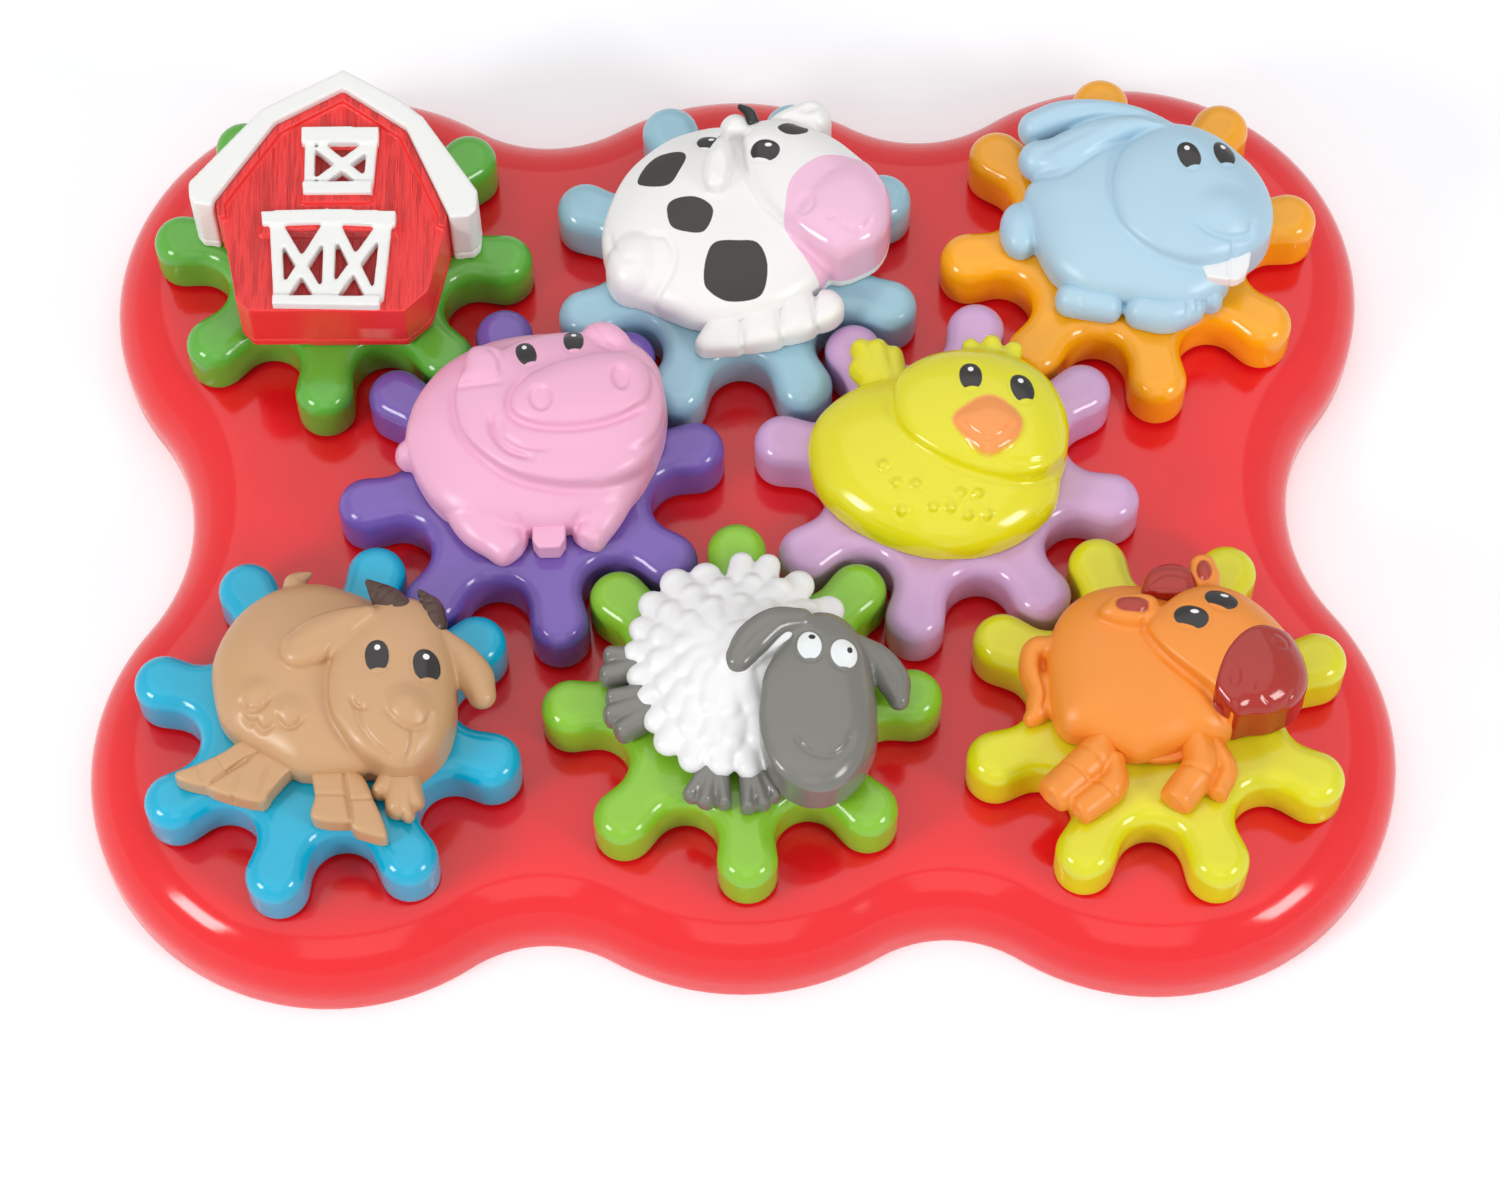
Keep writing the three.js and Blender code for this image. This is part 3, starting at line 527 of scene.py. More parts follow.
def boardOutline(inset):
    # Arcs round the lobes joined by hollow arcs that touch both neighbours from outside
    lobes = boardLobes()
    hollows = []
    for i, (x, y, radius, hollow) in enumerate(lobes):
        nextX, nextY, nextRadius, _ = lobes[(i + 1) % len(lobes)]
        span = math.hypot(nextX - x, nextY - y)
        fromOne, fromTwo = radius + hollow, nextRadius + hollow
        along = (span * span + fromOne ** 2 - fromTwo ** 2) / (2 * span)
        out = math.sqrt(fromOne ** 2 - along ** 2)
        alongX, alongY = (nextX - x) / span, (nextY - y) / span
        hollows.append((x + along * alongX + out * alongY, y + along * alongY - out * alongX))
    pieces = []
    for i, (x, y, radius, hollow) in enumerate(lobes):
        beforeX, beforeY = hollows[i - 1]
        afterX, afterY = hollows[i]
        nextX, nextY = lobes[(i + 1) % len(lobes)][:2]
        start = math.atan2(beforeY - y, beforeX - x)
        end = start + (math.atan2(afterY - y, afterX - x) - start) % (2 * pi)
        pieces.append(arc(x, y, radius - inset, start, end, board["lobeSteps"])[:-1])
        hollowEnd = math.atan2(nextY - afterY, nextX - afterX)
        hollowStart = hollowEnd + (math.atan2(y - afterY, x - afterX) - hollowEnd) % (2 * pi)
        pieces.append(arc(afterX, afterY, hollow + inset, hollowStart, hollowEnd, board["notchSteps"])[:-1])
    return np.concatenate(pieces)


def makeBoard():
    # One skin from the middle of the hollow underside out to the wall, down it, round the foot, up the side,
    # over the wide round edge and in over the flat top; each post is a profile turned about its axis
    high, edge, foot = board["high"], board["edgeRound"], board["footRound"]
    wall, seatHigh, bevel = board["wall"], board["coverSeat"], board["wallBevel"]
    inner, flat = boardOutline(wall), boardOutline(edge)
    rings = [lift(inner * share, seatHigh) for share in board["underShares"]]
    rings += [lift(inner, seatHigh), lift(inner, bevel), lift(boardOutline(wall - bevel), 0)]
    rings += [lift(boardOutline(foot * (1 - math.sin(a))), foot * (1 - math.cos(a)))
              for a in np.linspace(0, pi / 2, board["footSteps"])]
    rings.append(lift(boardOutline(0), (high - edge) / 2))
    rings += roundProfile(boardOutline, 0, high - edge, edge, board["edgeSteps"])
    rings += [lift(flat * share, high) for share in board["topShares"]]
    shell = putMesh("board_shell", *ringArrays(rings, low=(0, 0, seatHigh), high=(0, 0, high)))
    finish(shell, "board", "board_red", ["base_top"])
    profile = [(radius, high + rise) for radius, rise in board["post"]]
    posts = [turnedSolid(profile, *station["centre"], board["postAround"])
             for station in stations.values()]
    finish(putMesh("board_posts", *joinArrays(posts)), "board", "board_red")
    print("board made")


# Cover, screws, retainers

cover = {
    "gap": 0.3, "thick": 3.4, "edge": [(0.4, 0), (0, 0.4), (0, 3.0), (0.3, 3.4)],  # inset, height
    "flatInset": 0.6, "shares": (0.1, 0.4, 0.7, 0.9, 0.98), "holeBevel": 0.5, "over": 0.6, "holeAround": 40,
}
screw = {
    "reach": 39.0, "head": 3.6, "headLow": 0.4, "headHigh": 2.2, "shaft": 1.7, "top": 15.2, "gap": 0.3,
    "headRound": 1.4, "dome": 0.35, "slotHalf": 0.42, "slotEdge": 0.16, "slotReach": 2.2, "slotEnd": 0.5,
    "slotDeep": 1.0, "around": 96, "faceRings": 22,
}
retainer = {
    "profile": [  # radius, height
        (2.0, 20.4), (2.6, 21.2), (2.6, 34.1), (7.8, 34.1), (8.2, 34.5), (8.2, 35.7), (7.9, 36.3),
        (7.3, 36.5), (3.0, 36.5), (2.6, 36.2), (1.0, 36.2)],
    "around": 64,
}


def screwPlaces():
    return [(x * (1 + screw["reach"] / math.hypot(x, y)), y * (1 + screw["reach"] / math.hypot(x, y)))
            for x, y, _, _ in boardLobes()]


def makeCover():
    # A plate with soft edges, from which a stepped hole is cut for each screw
    inset, thick, gap = board["wall"] + cover["gap"], cover["thick"], screw["gap"]
    flat = boardOutline(inset + cover["flatInset"])
    rings = [lift(flat * share, 0) for share in cover["shares"]]
    rings += [lift(boardOutline(inset + extra), z) for extra, z in cover["edge"]]
    rings += [lift(flat * share, thick) for share in cover["shares"][::-1]]
    plate = putMesh("cover_plate", *ringArrays(rings, low=(0, 0, 0), high=(0, 0, thick)))
    headHole, shaftHole, step = screw["head"] + gap, screw["shaft"] + gap, screw["headHigh"] + gap
    bevel = cover["holeBevel"]
    profile = [(headHole + bevel, -1), (headHole, bevel), (headHole, step), (shaftHole, step),
               (shaftHole, thick + cover["over"])]
    holes = [turnedSolid(profile, x, y, cover["holeAround"]) for x, y in screwPlaces()]
    cutter = putMesh("cover_holes", *joinArrays(holes))
    cut = plate.modifiers.new("holes", "BOOLEAN")
    cut.operation = "DIFFERENCE"
    cut.solver = "EXACT"
    cut.object = cutter
    bakeModifiers(plate)
    bpy.data.objects.remove(cutter)
    finish(plate, "board", "cover_red", ["base_cover"])


def makeScrews():
    # The head is a disc that falls by the cross recess: deep where x or y lies within half the slot's width
    head, shaft, top = screw["head"], screw["shaft"], screw["top"]
    headLow, headHigh, deep = screw["headLow"], screw["headHigh"], screw["slotDeep"]
    angles = np.linspace(0, 2 * pi, screw["around"], endpoint=False)
    radii = np.linspace(0.12, head, screw["faceRings"])
    across = radii[:, None] * np.minimum(np.abs(np.cos(angles)), np.abs(np.sin(angles)))
    slot = np.clip((screw["slotHalf"] - across) / screw["slotEdge"], 0, 1)
    slot *= np.clip((screw["slotReach"] - radii) / screw["slotEnd"], 0, 1)[:, None]
    face = headLow + screw["dome"] * (radii[:, None] / head) ** 3 + deep * slot
    side = [(head, screw["headRound"]), (head - 0.1, headHigh), (shaft, headHigh + 0.1), (shaft, top - 1),
            (0.5, top)]
    for i, (x, y) in enumerate(screwPlaces()):
        rings = [circleRing(radius, angles, z, x, y) for radius, z in [*zip(radii, face), *side]]
        name = "cover_screw_%d" % (i + 1)
        solid = ringArrays(rings, low=(x, y, headLow + deep), high=(x, y, top))
        finish(putMesh(name + "_steel", *solid), "board", "screw_steel", [name])


def makeRetainers():
    # A stepped pin, turned about the axis of each gear
    for name, station in stations.items():
        pin = turnedSolid(retainer["profile"], *station["centre"], retainer["around"])
        finish(putMesh(name + "_retainer_pin", *pin), "board", "retainer_white", [name + "_gear_retainer"])
    print("cover, screws and retainers made")


makeGears()
makeBoard()
makeCover()
makeScrews()
makeRetainers()


# Figures: rounded forms on a common plane, fused into one skin, then carved and painted. Each figure's sizes
# are in its own dictionary, in millimetres from the middle of its gear and from the plane where it lies.

relief = {
    "flatBelow": 0.25, "far": 4.0, "rimOut": 0.3, "carveAbove": 1.0, "carveFade": 1.5,
    "eyeRing": (0.4, 0.25, 0.4),  # out from the eye, depth, half width
    "pocketFrom": 0.8, "pocketRadius": 18.7, "pocketHigh": 3.3,
    "loopSteps": 150, "muzzleSteps": 90, "spotSteps": 60, "beakSteps": 70, "ovalSteps": 13,
    "pillowSteps": 16, "limbSteps": 30, "limbAround": 28, "capSteps": 6, "capShare": 0.3,
    "lineSteps": 6, "endShare": 0.35, "endWidths": 3,
    "overEdge": 0.8, "overKeep": -0.9, "overAbove": 0.3, "overWall": 1.2, "overLow": 0.05,
    # Parts of an eye, as shares of its half sizes: how far the bite and the light lie from its middle, and
    # their own half sizes
    "biteDown": 1.62, "biteHalf": (1.3, 0.86), "glintAt": (0.06, 0.52), "glintHalf": (0.25, 0.18),
}


def smoothCurve(points, closed, steps=12):
    # Catmull-Rom: between two points runs the cubic that passes both, parallel at each to the chord of its
    # neighbours
    points = np.asarray(points, dtype=float)
    if closed:
        before, after, second = (np.roll(points, -shift, 0) for shift in (-1, 1, 2))
        start = points
    else:
        whole = np.concatenate([[2 * points[0] - points[1]], points, [2 * points[-1] - points[-2]]])
        before, start, after, second = whole[:-3], whole[1:-2], whole[2:-1], whole[3:]
    t = np.linspace(0, 1, steps, endpoint=False)[None, :, None]
    before, start, after, second = (side[:, None] for side in (before, start, after, second))
    curve = 0.5 * (2 * start + (after - before) * t + (2 * before - 5 * start + 4 * after - second) * t ** 2
                   + (3 * start - before - 3 * after + second) * t ** 3)
    curve = curve.reshape(-1, points.shape[1])
    return np.concatenate([curve, points[:1] if closed else points[-1:]])


def evenPoints(curve, count, closed):
    # Points at equal lengths along a curve
    steps = np.linalg.norm(np.diff(curve[:, :2], axis=0), axis=1)
    along = np.concatenate([[0], np.cumsum(steps)])
    even = np.linspace(0, along[-1], count, endpoint=not closed)
    return np.column_stack([np.interp(even, along, curve[:, k]) for k in range(curve.shape[1])])


def loopArea(loop):
    # Half the sum of the cross products of neighbours, more than zero where the loop runs counter-clockwise
    following = np.roll(loop, -1, 0)
    return 0.5 * np.sum(loop[:, 0] * following[:, 1] - loop[:, 1] * following[:, 0])


def smoothLoop(points, count=relief["loopSteps"]):
    # A closed smooth curve through the points, with even steps, counter-clockwise
    loop = evenPoints(smoothCurve(points, True), count, True)
    return loop if loopArea(loop) > 0 else loop[::-1]


def pillow(edge, peak, high, wall=5.0, low=0.0, power=2.3, toward=None):
    # An upright wall, then a dome: a ring is drawn in to the peak by cos(a) ^ (2 / power) while it rises by
    # sin(a) ^ (2 / power). Toward an angle the wall is higher by an extra times (1 + cos(off that angle)) / 2
    loop, peak = smoothLoop(edge), np.array(peak, dtype=float)
    wall = np.full(len(loop), float(wall))
    if toward:
        away = np.arctan2(*(loop - peak).T[::-1])
        wall += toward[1] * (1 + np.cos(away - math.radians(toward[0]))) / 2
    rings = [lift(loop, low)]
    for angle in np.linspace(0, pi / 2, relief["pillowSteps"])[:-1]:
        reach, rise = math.cos(angle) ** (2 / power), math.sin(angle) ** (2 / power)
        rings.append(np.column_stack([peak + (loop - peak) * reach, low + wall + (high - low - wall) * rise]))
    return ringArrays(rings, low=(*peak, low), high=(*peak, high))


def limb(path, blunt=2.0):
    # Ellipses carried along a curve of (x, y, height, half width, half thickness), with ends closed by half a
    # superellipse, more square where blunt is higher; nothing goes below the figure's plane
    curve = evenPoints(smoothCurve(path, False), relief["limbSteps"], False)
    along = np.gradient(curve[:, :2], axis=0)
    along = along / np.linalg.norm(along, axis=1)[:, None]
    steps, share = relief["capSteps"], relief["capShare"]
    cap = np.linspace(0, pi / 2, steps + 1)[:-1]
    reach, shrink = np.sin(cap) ** (2 / blunt), np.cos(cap) ** (2 / blunt)
    start = np.repeat(curve[:1], steps, 0)
    start[:, :2] -= along[0] * curve[0, 3] * reach[:, None]
    start[:, 3:] *= shrink[:, None]
    end = np.repeat(curve[-1:], steps, 0)
    end[:, :2] += along[-1] * curve[-1, 3] * reach[:, None]
    end[:, 3:] *= shrink[:, None]
    line = np.concatenate([start[:0:-1], curve, end[1:]])
    way = np.concatenate([np.repeat(along[:1], steps - 1, 0), along, np.repeat(along[-1:], steps - 1, 0)])
    side = np.column_stack([-way[:, 1], way[:, 0]])
    angle = np.linspace(0, 2 * pi, relief["limbAround"], endpoint=False)
    across = line[:, 3:4] * np.cos(angle)
    height = np.maximum(line[:, 2:3] + line[:, 4:5] * np.sin(angle), 0)
    rings = np.stack([line[:, :1] + side[:, :1] * across, line[:, 1:2] + side[:, 1:] * across, height], -1)
    first = (*(line[0, :2] - way[0] * line[0, 3] * share), max(line[0, 2], 0))
    last = (*(line[-1, :2] + way[-1] * line[-1, 3] * share), max(line[-1, 2], 0))
    return ringArrays(rings, low=first, high=last)


def ovalPath(x, y, halfX, halfY, degrees=0.0):
    # Half sizes times the cosine and sine, turned and moved to its place; the first point comes again at the
    # end
    angle = np.linspace(0, 2 * pi, relief["ovalSteps"])
    path = turnPoints(np.column_stack([halfX * np.cos(angle), halfY * np.sin(angle)]), degrees) + [x, y]
    path[-1] = path[0]
    return [tuple(point) for point in path]


def button(oval, high, wall=0.0, power=2.0):
    # A pillow with an oval edge
    return pillow(ovalPath(*oval)[:-1], oval[:2], high, wall, power=power)


def forms(recipes):
    # A recipe with an edge is a pillow, one with a path is a limb, and one with an oval is a button
    made = []
    for recipe in recipes.values():
        shape = pillow if "edge" in recipe else limb if "path" in recipe else button
        made.append(shape(**recipe))
    return made


def prism(corners, low, high):
    # Walls go up from the outline; both ends are filled with triangles between its corners
    loop = np.array(corners, dtype=float)
    loop = loop if loopArea(loop) > 0 else loop[::-1]
    fill = flatFill(loop)
    points = np.concatenate([lift(loop, low), lift(loop, high)])
    return points, ringQuads(2, len(loop)), np.concatenate([fill[:, ::-1], fill + len(loop)])


def barCorners(start, end, width):
    # A straight bar from one point to another, half its width to each side
    start, end = np.array(start), np.array(end)
    along = (end - start) / np.linalg.norm(end - start)
    side = np.array([-along[1], along[0]]) * width / 2
    return [start - side, end - side, end + side, start + side]


def meshPoints(mesh):
    # In millimetres
    points = np.empty(len(mesh.vertices) * 3, dtype=np.float32)
    mesh.vertices.foreach_get("co", points)
    return points.reshape(-1, 3).astype(float) / mm


def planPoints(piece):
    # Seen from above, in millimetres
    return meshPoints(piece.data)[:, :2]


def setMeshPoints(mesh, points):
    mesh.vertices.foreach_set("co", (points * mm).astype(np.float32).ravel())
    mesh.update()


def meshNormals(mesh):
    # The mean direction of the faces round each point
    normals = np.empty(len(mesh.vertices) * 3, dtype=np.float32)
    mesh.vertex_normals.foreach_get("vector", normals)
    return normals.reshape(-1, 3).astype(float)


def fuse(name, parts, voxel=0.5, passes=5, flat=True):
    # One skin round all the parts, evened out by moving each point halfway to the mean of its neighbours in
    # each pass. Where it is flat below, the points just over the plane go down to it.
    piece = putMesh(name, *joinArrays(parts))
    remesh = piece.modifiers.new("fused", "REMESH")
    remesh.mode = "VOXEL"
    remesh.voxel_size = voxel * mm
    bakeModifiers(piece)
    mesh = piece.data
    points = meshPoints(mesh)
    edges = np.empty(len(mesh.edges) * 2, dtype=np.int32)
    mesh.edges.foreach_get("vertices", edges)
    one, two = edges[0::2], edges[1::2]
    count = np.bincount(edges, minlength=len(points))[:, None]
    size = len(points)
    for _ in range(passes):
        total = np.column_stack([
            np.bincount(one, points[two, axis], size) + np.bincount(two, points[one, axis], size)
            for axis in range(3)])
        points = (points + total / count) / 2
    if flat:
        points[points[:, 2] < relief["flatBelow"], 2] = 0
    setMeshPoints(mesh, points)
    mesh.polygons.foreach_set("use_smooth", np.ones(len(mesh.polygons), dtype=bool))
    return piece


def lineDistance(places, line):
    # Shortest distance in plan to the pieces of a line: each place is dropped at right angles on every piece
    start, span = line[:-1], np.diff(line, axis=0)
    squared = np.maximum((span ** 2).sum(1), 1e-9)
    nearest = np.full(len(places), 1e9)
    for k in range(len(start)):
        away = places - start[k]
        share = np.clip(away @ span[k] / squared[k], 0, 1)
        nearest = np.minimum(nearest, np.hypot(*(away - share[:, None] * span[k]).T))
    return nearest


def insideDistance(places, loop):
    # Distance to a closed line, more than zero inside, where a ray to the right crosses the line an odd
    # number of times. Places well outside its box just get a distance that is far.
    closed = np.concatenate([loop, loop[:1]])
    far = relief["far"]
    near = np.all((places > loop.min(0) - far) & (places < loop.max(0) + far), axis=1)
    result = np.full(len(places), -far)
    spots = places[near]
    crossings = np.zeros(len(spots), dtype=int)
    for (x, y), (nextX, nextY) in zip(closed[:-1], closed[1:]):
        spans = (y > spots[:, 1]) != (nextY > spots[:, 1])
        where = x + (spots[:, 1] - y) / (nextY - y if nextY != y else 1) * (nextX - x)
        crossings += spans & (spots[:, 0] < where)
    result[near] = lineDistance(spots, closed) * np.where(crossings % 2, 1, -1)
    return result


def rimPath(edge, start, end):
    # The part of a smooth outline between two bearings from its middle, moved outwards a little
    loop = smoothLoop(edge)
    way = np.roll(loop, -1, 0) - np.roll(loop, 1, 0)
    way = way / np.linalg.norm(way, axis=1)[:, None]
    turn = (np.degrees(np.arctan2(*(loop - loop.mean(0)).T[::-1])) - start) % 360
    order = np.argsort(turn)
    order = order[turn[order] <= (end - start) % 360]
    return (loop + np.column_stack([way[:, 1], -way[:, 0]]) * relief["rimOut"])[order[::3]]


def carve(piece, grooves, dishes=()):
    # A groove is (path, depth, half width): each point sinks along its normal by depth times
    # exp(-(distance / half width) ^ 2); a path that comes back to its start is a ring. A dish is (x, y, half
    # sizes, turn, depth, edge): it sinks by depth times s * s * (3 - 2 s), s being the way inside over the
    # edge. A depth below zero raises. All fade out near the plane.
    points, normals = meshPoints(piece.data), meshNormals(piece.data)
    sink = np.zeros(len(points))
    for path, depth, width in grooves:
        closed = len(path) > 2 and tuple(path[0]) == tuple(path[-1])
        line = smoothCurve(path[:-1] if closed else path, closed, relief["lineSteps"])
        reach = lineDistance(points[:, :2], line)
        fade = 1.0
        if not closed:
            ends = np.minimum(np.hypot(*(points[:, :2] - line[0]).T), np.hypot(*(points[:, :2] - line[-1]).T))
            fade = np.clip(relief["endShare"] + ends / (relief["endWidths"] * width), 0, 1)
        sink += depth * fade * np.exp(-(reach / width) ** 2)
    for x, y, halfX, halfY, degrees, depth, edge in dishes:
        s = np.clip(ovalInside(points[:, :2], x, y, halfX, halfY, degrees) / edge, 0, 1)
        sink += depth * s * s * (3 - 2 * s)
    sink *= np.clip((points[:, 2] - relief["carveAbove"]) / relief["carveFade"], 0, 1)
    setMeshPoints(piece.data, points - normals * sink[:, None])


def grooved(figure):
    # All grooves of a figure: stretches of its forms' edges, oval rings, creases, and a ring round each eye
    grooves = [(rimPath(figure["skin"][form]["edge"], start, end), depth, width)
               for form, start, end, depth, width in figure.get("rims", ())]
    grooves += [(ovalPath(*oval), depth, width) for *oval, depth, width in figure.get("rings", ())]
    grooves += figure["creases"]
    out, depth, width = figure.get("eyeRing", relief["eyeRing"])
    return grooves + [(ovalPath(x, y, halfX + out, halfY + out, degrees), depth, width)
                      for x, y, halfX, halfY, degrees in figure["eyes"]]


def ovalInside(places, x, y, halfX, halfY, degrees=0.0, power=2.0):
    # How far inside a superellipse: 1 less the power mean of the two shares of the half sizes, times the
    # smaller half
    local = np.abs(turnPoints(places - [x, y], -degrees) / [halfX, halfY])
    return (1 - (local ** power).sum(1) ** (1 / power)) * min(halfX, halfY)


def paint(piece, layer, distance):
    # The paint's edge lies where the stored distance is zero
    values = piece.data.attributes.new(layer, "FLOAT", "POINT")
    values.data.foreach_set("value", np.asarray(distance, dtype=np.float32))


def eyeLayers(places, eyes):
    # A dark oval cut off by a wide oval at its foot, and a small white light in its upper part
    dark, light = np.full(len(places), -relief["far"]), np.full(len(places), -relief["far"])
    biteX, biteY = relief["biteHalf"]
    right, rise = relief["glintAt"]
    glintX, glintY = relief["glintHalf"]
    for x, y, halfX, halfY, degrees in eyes:
        down = turnPoints([[0, -halfY * relief["biteDown"]]], degrees)[0]
        up = turnPoints([[halfX * right, halfY * rise]], degrees)[0]
        bite = ovalInside(places, x + down[0], y + down[1], halfX * biteX, halfY * biteY, degrees)
        dark = np.maximum(dark, np.minimum(ovalInside(places, x, y, halfX, halfY, degrees, 2.2), -bite))
        glint = ovalInside(places, x + up[0], y + up[1], halfX * glintX, halfY * glintY, degrees + 10)
        light = np.maximum(light, glint)
    return {"eyeDark": dark, "eyeLight": light}


# Layer, colour, roughness, softness of the edge
eyePaints = [("eyeDark", [0.11, 0.08, 0.08], 0.16, 0.12), ("eyeLight", [0.97, 0.97, 0.98], 0.2, 0.1)]


def placeFigure(piece, figure):
    # From the figure's own place to its gear; the pocket for the peg's flange is pressed in from below
    points = meshPoints(piece.data)
    off = np.hypot(points[:, 0], points[:, 1])
    pocket = (points[:, 2] < relief["pocketFrom"]) & (off < relief["pocketRadius"]) & (figure != "barn")
    points[pocket, 2] = relief["pocketHigh"]
    points[:, :2] += stations[figure]["centre"]
    points[:, 2] += toy["figureLow"]
    setMeshPoints(piece.data, points)


def dress(piece, figure, slot, layers=None, paints=(), nodes=(), look=None, grain=False):
    # Paint layers are stored before the piece is moved to its gear, and its material reads them
    for layer, distance in (layers or {}).items():
        paint(piece, layer, distance)
    placeFigure(piece, figure)
    material = plastic(slot, paints, piece.name + "_printed", grain) if paints else materials[look or slot]
    return finish(piece, figure + "_figure", slot, nodes, material)


def skinOver(piece, name, loop, thick):
    # A second skin over the faces inside a loop: raised by its thickness inside, and run under the first skin
    # at its edge
    mesh = piece.data
    points, normals = meshPoints(mesh), meshNormals(mesh)
    corners = np.empty(len(mesh.polygons) * 4, dtype=np.int32)
    mesh.loops.foreach_get("vertex_index", corners)
    quads = corners.reshape(-1, 4)
    inside = insideDistance(points[:, :2], loop)
    offset = thick * np.clip(inside / relief["overEdge"], -1, 1)
    keep = np.all(inside[quads] > relief["overKeep"], axis=1)
    keep &= points[quads, 2].mean(1) > relief["overAbove"]
    used = np.unique(quads[keep])
    order = np.zeros(len(points), dtype=int)
    order[used] = np.arange(len(used))
    skin = putMesh(name, (points + normals * offset[:, None])[used], order[quads[keep]])
    wall = skin.modifiers.new("wall", "SOLIDIFY")
    wall.thickness = relief["overWall"] * mm
    wall.offset = -1
    bakeModifiers(skin)
    points = meshPoints(skin.data)
    points[:, 2] = np.maximum(points[:, 2], relief["overLow"])
    setMeshPoints(skin.data, points)
    return skin


pig = {
    "skin": {
        "body": {"peak": (2, 8), "high": 15.8, "wall": 5, "edge": [
            (-33, 5), (-32, 14), (-29, 21), (-23, 28.5), (-14, 34), (-4, 36.8), (8, 37.6), (18, 36.5),
            (27, 32.5), (33.5, 26), (36.3, 17), (36, 8), (33, -1), (29.5, -9), (22, -17), (10, -20.5),
            (-2, -21), (-12, -20), (-22, -16), (-29, -7)]},
        "head": {"peak": (12, 13), "high": 20.5, "wall": 9, "power": 2.5, "toward": (-140, 7), "edge": [
            (-20, 13), (-18.6, 19), (-10, 27), (2, 33), (16, 34.5), (27, 32), (34, 25), (36.2, 14), (35.5, 5),
            (31.4, -5), (24.4, -10.4), (14, -13.2), (3.6, -12.4), (-5.4, -9.4), (-13.4, -3), (-18.2, 4)]},
        "muzzle": {"peak": (15, 8), "high": 21.4, "wall": 15.5, "power": 2.3, "edge": [
            (-9.5, 6), (-5, 14), (5, 20), (18, 24), (29, 24), (35, 16), (35, 5), (30, -3), (20, -7), (9, -8),
            (0, -6.5), (-6.5, -2)]},
        "snout": {"peak": (15, 12), "high": 24.4, "wall": 20.0, "power": 2.6, "edge": [
            (-5, 8.8), (-2.4, 14.6), (5, 19.4), (14, 22.2), (23, 23.4), (30, 21.4), (32.6, 14.5), (30.4, 7.8),
            (22.6, 2.9), (12.6, 0.9), (3.6, 1.4), (-2.8, 4.2)]},
        "tail": {"oval": (-32.6, 3.6, 3.6, 4.4, 10), "high": 6.5},
        "leftEar": {"peak": (-11, 20.5), "high": 20.2, "wall": 15.4, "power": 2.6, "edge": [
            (-15, 28), (-7.6, 27.4), (-5.4, 21), (-6.4, 16.6), (-12.4, 16.2), (-19, 16.2), (-17.4, 22.4)]},
        "rightEar": {"peak": (21.4, 31), "high": 18.9, "wall": 12.6, "power": 2.6, "edge": [
            (14, 32), (16, 35.6), (22.2, 35.4), (27, 31), (27, 27.4), (23, 26), (18, 28.4)]},
        "frontLeg": {"blunt": 4, "path": [
            (-18, -8, 4.5, 7.4, 6), (-13, -17.4, 3.4, 7.2, 5.8), (-7.4, -22.6, 2.6, 6.2, 5.4)]},
        "backLeg": {"blunt": 4, "path": [
            (22.6, -8, 4.5, 6.6, 6), (19.6, -15.4, 3.4, 5.6, 5.8), (16.8, -20.4, 2.6, 4.8, 5.4)]},
    },
    "rims": [  # form, from and to bearing, depth, half width
        ("head", 158, 292, 0.7, 0.9), ("snout", 165, 345, 0.9, 0.85),
    ],
    "creases": [  # path, depth, half width
        ([(-9.9, 5.6), (-9.0, 0.6), (-5.2, -4.2), (1.0, -6.8)], 1.5, 0.95),
        ([(-7.4, 3.8), (-6, 0), (-1.4, -3.4), (5, -4.6)], 0.9, 0.8),
        ([(-19, 15.6), (-12.4, 15.4), (-6.6, 15.8)], 0.6, 0.8),
        ([(-11, 27), (-7.8, 23), (-6.8, 18)], 0.5, 0.7), ([(18, 27.8), (22.6, 25.6), (27, 26.8)], 0.5, 0.8),
        ([(17, 35), (19.4, 30.8), (22.8, 27.2)], 0.5, 0.7),
        ([(-3.6, -18), (-2, -21.4), (-1.2, -25)], 0.6, 0.8),
        ([(13.8, -18), (12.4, -20.6), (11.8, -24)], 0.6, 0.8),
    ],
    "eyes": [  # x, y, half sizes, turn
        (-0.5, 24.6, 2.6, 4.3, 18), (12.0, 28.9, 2.7, 4.3, 4),
    ],
    "middleFoot": [(1.0, -16), (0.9, -24.6), (2.6, -27), (8.2, -26.8), (9.6, -24.4), (9.7, -16)],
    "dishes": [  # x, y, half sizes, turn, depth, edge
        (3.6, 8.6, 3.5, 4.4, 16, 1.0, 1.0), (24.8, 14.4, 2.9, 4.4, 8, 1.0, 1.0),
    ],
    "middleFootHigh": 6.6,
}


def makePig():
    # One skin with carved features, and a foot between its legs
    piece = fuse("pig_skin", forms(pig["skin"]))
    carve(piece, grooved(pig), pig["dishes"])
    dress(piece, "pig", "pig_pink", eyeLayers(planPoints(piece), pig["eyes"]), eyePaints, ["pig_front"])
    foot = fuse("pig_middle_foot", [prism(pig["middleFoot"], 0, pig["middleFootHigh"])], voxel=0.4)
    dress(foot, "pig", "pig_pink")


